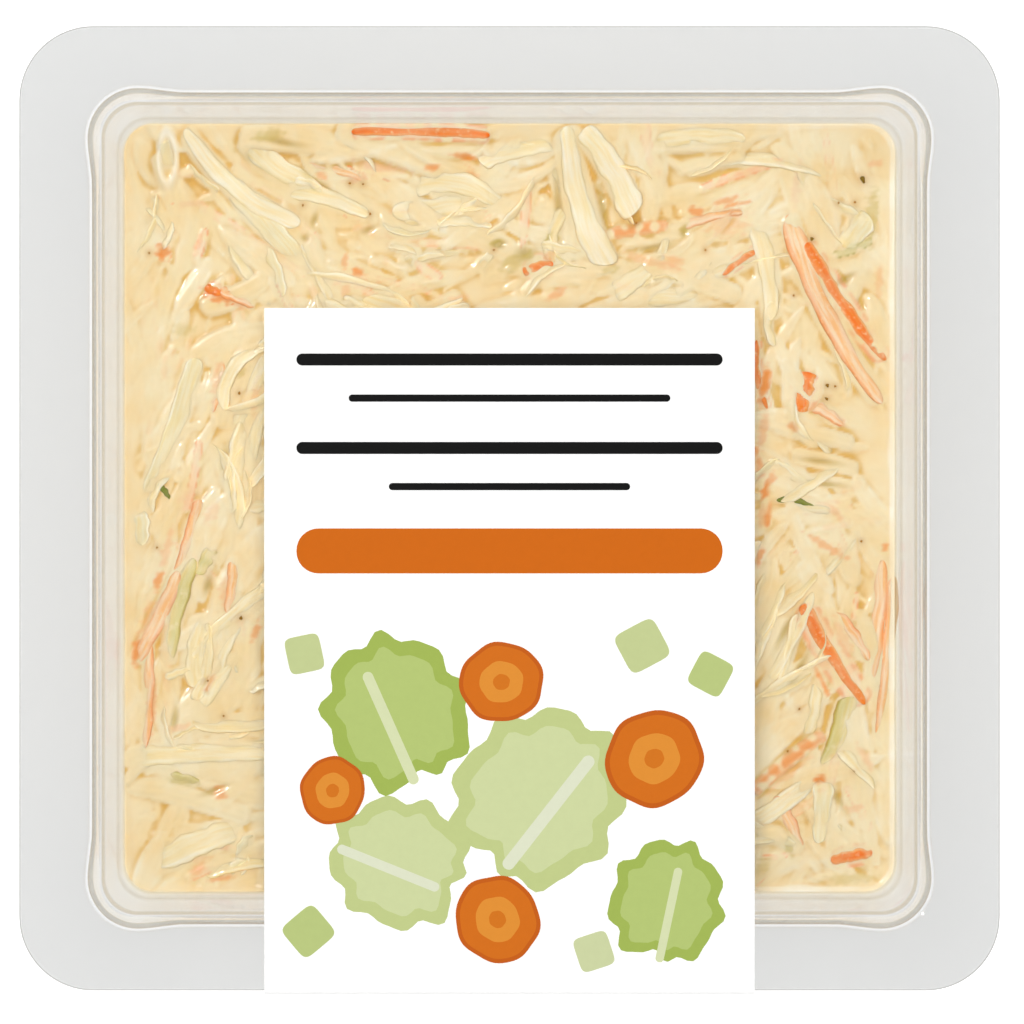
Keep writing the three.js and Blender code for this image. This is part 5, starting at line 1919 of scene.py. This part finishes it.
        inward = grid[-1] * np.array([0.95, 0.95, 1.0]) - np.array([0, 0, 0.4])
        whole = skin(np.concatenate([grid, inward[None]]))
        tint = self.run_together(under.tint, walls.tint).reshape(-1, 3)
        extra = np.broadcast_to(DRESSING_TINT, (rings.shape[1] + 2, 3))
        whole.layers["tint"] = np.concatenate([tint, extra])
        return whole.facing_out()

    def sunk(self, canvas: Canvas, crest: float) -> Array:
        """Relief behind the sheet: shallow, and never out of it, so that all of it stays wet."""
        return np.clip(0.2 * (canvas.height - crest), -0.4 * self.into_wall, 0)

    def run_together(self, base: Array, walls: Array) -> Array:
        """The base's rows and the sides' rows as one, mixed where they overlap."""
        fade = smooth(np.linspace(0, 1, self.joint)).reshape(-1, *[1] * (base.ndim - 1))
        blend = base[-self.joint :] * (1 - fade) + walls[: self.joint] * fade
        return np.concatenate([base[: -self.joint], blend, walls[self.joint :]])

    def fill_walls(self, canvas: Canvas, around: float) -> None:
        """Shreds against the clear walls, mostly lying level, and dressing between them."""
        draw = np.random.default_rng(self.seed + 1)
        kinds = Kind.CABBAGE, Kind.CREAM, Kind.WHITE, Kind.PINK, Kind.CORAL, Kind.RIB, Kind.COATED
        odds = dict(zip(kinds, (0.36, 0.26, 0.08, 0.1, 0.05, 0.06, 0.09)))
        for _ in range(self.strips_wall):
            kind = drawn(draw, odds)
            place = np.array([draw.uniform(0, around), draw.uniform(0, FOOD_LEVEL + 1)])
            turn = math.radians(draw.normal(0, 30))
            length = draw.uniform(5, 20)
            width = draw.uniform(1.2, 2.2 if kind is Kind.CORAL else 3.2)
            strip = Strip(
                kind, *ends_of(place, turn, length), width,
                bow=draw.normal(0, 0.08) * length, rise=draw.uniform(0.2, 0.5),
                level=draw.normal(0.05, 0.25), soft=0.2, blunt=draw.uniform(0.3, 1),
            )
            canvas.press(strip)
        canvas.flood(-0.15 + 0.3 * ripples(canvas.u, canvas.v, 16.0, 12), soft=0.5, cover=0.7)
        canvas.tint = np.stack([canvas.blurred(canvas.tint[..., c], 1) for c in range(3)], -1)
        canvas.shade_relief(steps=4, deep=0.3, crest=0.3, ochre=0.5)

    def fill_base(self, canvas: Canvas) -> None:
        """Shreds that lie on the tub's floor, in every direction."""
        draw = np.random.default_rng(self.seed + 2)
        kinds = Kind.CABBAGE, Kind.CREAM, Kind.WHITE, Kind.PINK, Kind.CORAL
        odds = dict(zip(kinds, (0.4, 0.32, 0.1, 0.12, 0.06)))
        for _ in range(self.strips_base):
            kind = drawn(draw, odds)
            place = draw.uniform(-44, 44, 2)
            turn = draw.uniform(0, math.pi)
            length = draw.uniform(6, 20)
            strip = Strip(
                kind, *ends_of(place, turn, length), draw.uniform(1.6, 3.4),
                bow=draw.normal(0, 0.08) * length, rise=draw.uniform(0.2, 0.5),
                level=draw.normal(0.05, 0.25), soft=0.2,
            )
            canvas.press(strip)
        canvas.flood(-0.15 + 0.3 * ripples(canvas.u, canvas.v, 14.0, 13), soft=0.5, cover=0.7)
        canvas.shade_relief(steps=2, deep=0.3, crest=0.3, ochre=0.3)

    def speck_surface(self, canvas: Canvas) -> Surface:
        """Herb and pepper specks: small flattened grains, half sunk."""
        level = np.linspace(-0.9, 0.9, 7)
        turn = np.linspace(0, math.tau, 12, endpoint=False)
        ring = np.sqrt(1 - level**2)[:, None]
        grains = []
        for number, (x, y, across, along, angle) in enumerate(SPECKS):
            rest = FOOD_LEVEL + float(canvas.height[canvas.near((x, y), 0.6)].mean())
            lumpy = 1 + 0.16 * np.sin(3 * turn + number) + 0.1 * np.sin(5 * turn + 2 * number)
            u = ring * np.cos(turn) * lumpy * across * 0.42
            v = ring * np.sin(turn) * lumpy * along * 0.42
            cos, sin = math.cos(math.radians(angle)), math.sin(math.radians(angle))
            z = np.broadcast_to((rest + 0.03 + level * 0.1)[:, None], u.shape)
            grain = np.stack([x + u * cos - v * sin, y + u * sin + v * cos, z], -1)
            made = skin(grain).facing_out()
            numbers = np.full(len(made.points), float(number))
            made.layers["strand"] = np.column_stack([made.points[:, :2], numbers])
            small = float(smooth(np.array((1.3 - across - along) / 0.6)))
            own = rgb(Kind.SPICE.value.core) * small + rgb(Kind.SPICE.value.edge) * (1 - small)
            made.layers["tint"] = np.broadcast_to(own, made.points.shape)
            grains.append(made)
        return reduce(Surface.joined, grains)

    def build(self) -> None:
        """Make the surface, the body, the bare shreds and the specks."""
        dressing = Dressing().build()
        canvas, bare = self.dressed_top()
        self.top_surface(canvas).put("salad_surface", dressing, "dressing", ("coleslaw",))
        self.body_surface().put("salad_body", dressing, "dressing", crease=60)
        wet, warm = ("#FDF5DC", "#FAE9C2", 0.34, 0.6), ("#FFDEB4", "#FDDEAE", 0.46, 0.75)
        finishes = {
            "cabbage_shreds": (CutVegetable("raw_cabbage", *wet, glow=0.7, roughness=0.36), "cabbage"),
            "carrot_shreds": (CutVegetable("raw_carrot", *warm, patch_mm=0.55), "carrot"),
            "leaf_slivers": (CutVegetable("green_leaf", "#E4E8B4", "#C9C489", 0.1, glow=0.0), "greens"),
        }
        for name, (finish, slot) in finishes.items():
            bare[name].put(name, finish.build(), slot)
        spice = CutVegetable("herb_speck", "#F8ECCC", "#B8862C", 0.3, glow=0.0, gloss=0.0)
        self.speck_surface(canvas).put("herb_specks", spice.build(), "greens")


# ---- Studio --------------------------------------


@dataclass(frozen=True)
class LitAcrylic(Finish):
    """White acrylic lit from within: an even white with a faint grain in its polish."""

    name: str = "white_table"
    colour: str = "#A4A4A3"
    glow: float = 0.97
    grain_scale: float = 400.0  # per metre

    def surface(self, tree: Tree) -> Socket:
        """Evenly lit, and rough."""
        place = add_node(tree, "TexCoord", output="Object")
        fine = {"Vector": place, "Scale": self.grain_scale, "Detail": 2.0}
        grain = add_node(tree, "TexNoise", fine)
        acrylic = {
            "Base Color": linear(self.colour),
            "Roughness": add_node(tree, "MapRange", {"Value": grain, "To Min": 0.55, "To Max": 0.65}),
            "Emission Color": linear("#FFFFFF"),
            "Emission Strength": self.glow,
        }
        return add_node(tree, "BsdfPrincipled", acrylic)


@dataclass(frozen=True)
class Lamp:
    """A round lamp that faces the tub: its place and size in mm, and its power."""

    name: str
    place: tuple[float, float, float]
    size: float
    watts: float
    glints: bool  # it shows only in reflections, or else only in what it lights


@dataclass
class Studio:
    """A lit white table under an even white sky, two lamps, and the camera overhead."""

    camera_at: tuple[float, float, float] = (0.31, -0.15, 530.0)
    lens: float = 135.6
    sensor: float = 36.0
    sky: float = 0.41
    floor_half: float = 900.0
    lamps: tuple[Lamp, ...] = (
        Lamp("soft_lamp", (-20.0, 50.0, 800.0), 300.0, 4.3, False),
        Lamp("glint_lamp", (-400.0, 330.0, 520.0), 45.0, 3.0, True),
    )

    def floor(self) -> None:
        """A flat table top; it isn't part of the object."""
        half = self.floor_half * MM
        mesh = bpy.data.meshes.new("table")
        corners = [(-half, -half, 0), (half, -half, 0), (half, half, 0), (-half, half, 0)]
        mesh.from_pydata(corners, [], [(0, 1, 2, 3)])
        mesh.materials.append(LitAcrylic().build())
        table = bpy.data.objects.new("table", mesh)
        bpy.context.scene.collection.objects.link(table)

    def lights(self) -> None:
        """Even white surroundings, a large lamp nearly overhead and a small one from the left."""
        world = bpy.data.worlds.new("white_studio")
        world.use_nodes = True
        background = world.node_tree.nodes["Background"]
        background.inputs["Color"].default_value = (1.0, 1.0, 1.0, 1.0)
        background.inputs["Strength"].default_value = self.sky
        bpy.context.scene.world = world
        for lamp in self.lamps:
            light = bpy.data.lights.new(lamp.name, "AREA")
            light.shape = "DISK"
            light.size = lamp.size * MM
            light.energy = lamp.watts
            holder = bpy.data.objects.new(lamp.name, light)
            holder.visible_glossy = lamp.glints
            holder.visible_diffuse = not lamp.glints
            holder.location = Vector(lamp.place) * MM
            holder.rotation_euler = (-holder.location).to_track_quat("-Z", "Y").to_euler()
            bpy.context.scene.collection.objects.link(holder)

    def camera(self) -> None:
        """Camera straight above, its upper edge towards the tub's back."""
        camera = bpy.data.cameras.new("overhead")
        camera.lens = self.lens
        camera.sensor_width = self.sensor
        camera.clip_start = 0.01
        holder = bpy.data.objects.new("overhead", camera)
        holder.location = Vector(self.camera_at) * MM
        bpy.context.scene.collection.objects.link(holder)
        bpy.context.scene.camera = holder
        bpy.context.scene.view_settings.view_transform = "Standard"

    def build(self) -> None:
        """Set up table, lights and camera."""
        self.floor()
        self.lights()
        self.camera()


def main() -> None:
    logging.basicConfig(level=logging.INFO, format="%(message)s")
    Studio().build()
    Tub().build(ClearSheet("clear_pet_tray", "#F3F4F6", 9.0, 0.05, SHEET_TINTS_AND_LIGHT_LINES))
    Film().build(ClearSheet("clear_peel_film", "#FEFEFE", 14.0, 0.04, straight_on=0.022))
    Label().build(LabelStock(), Ink())
    Salad().build()


if __name__ == "__main__":
    main()
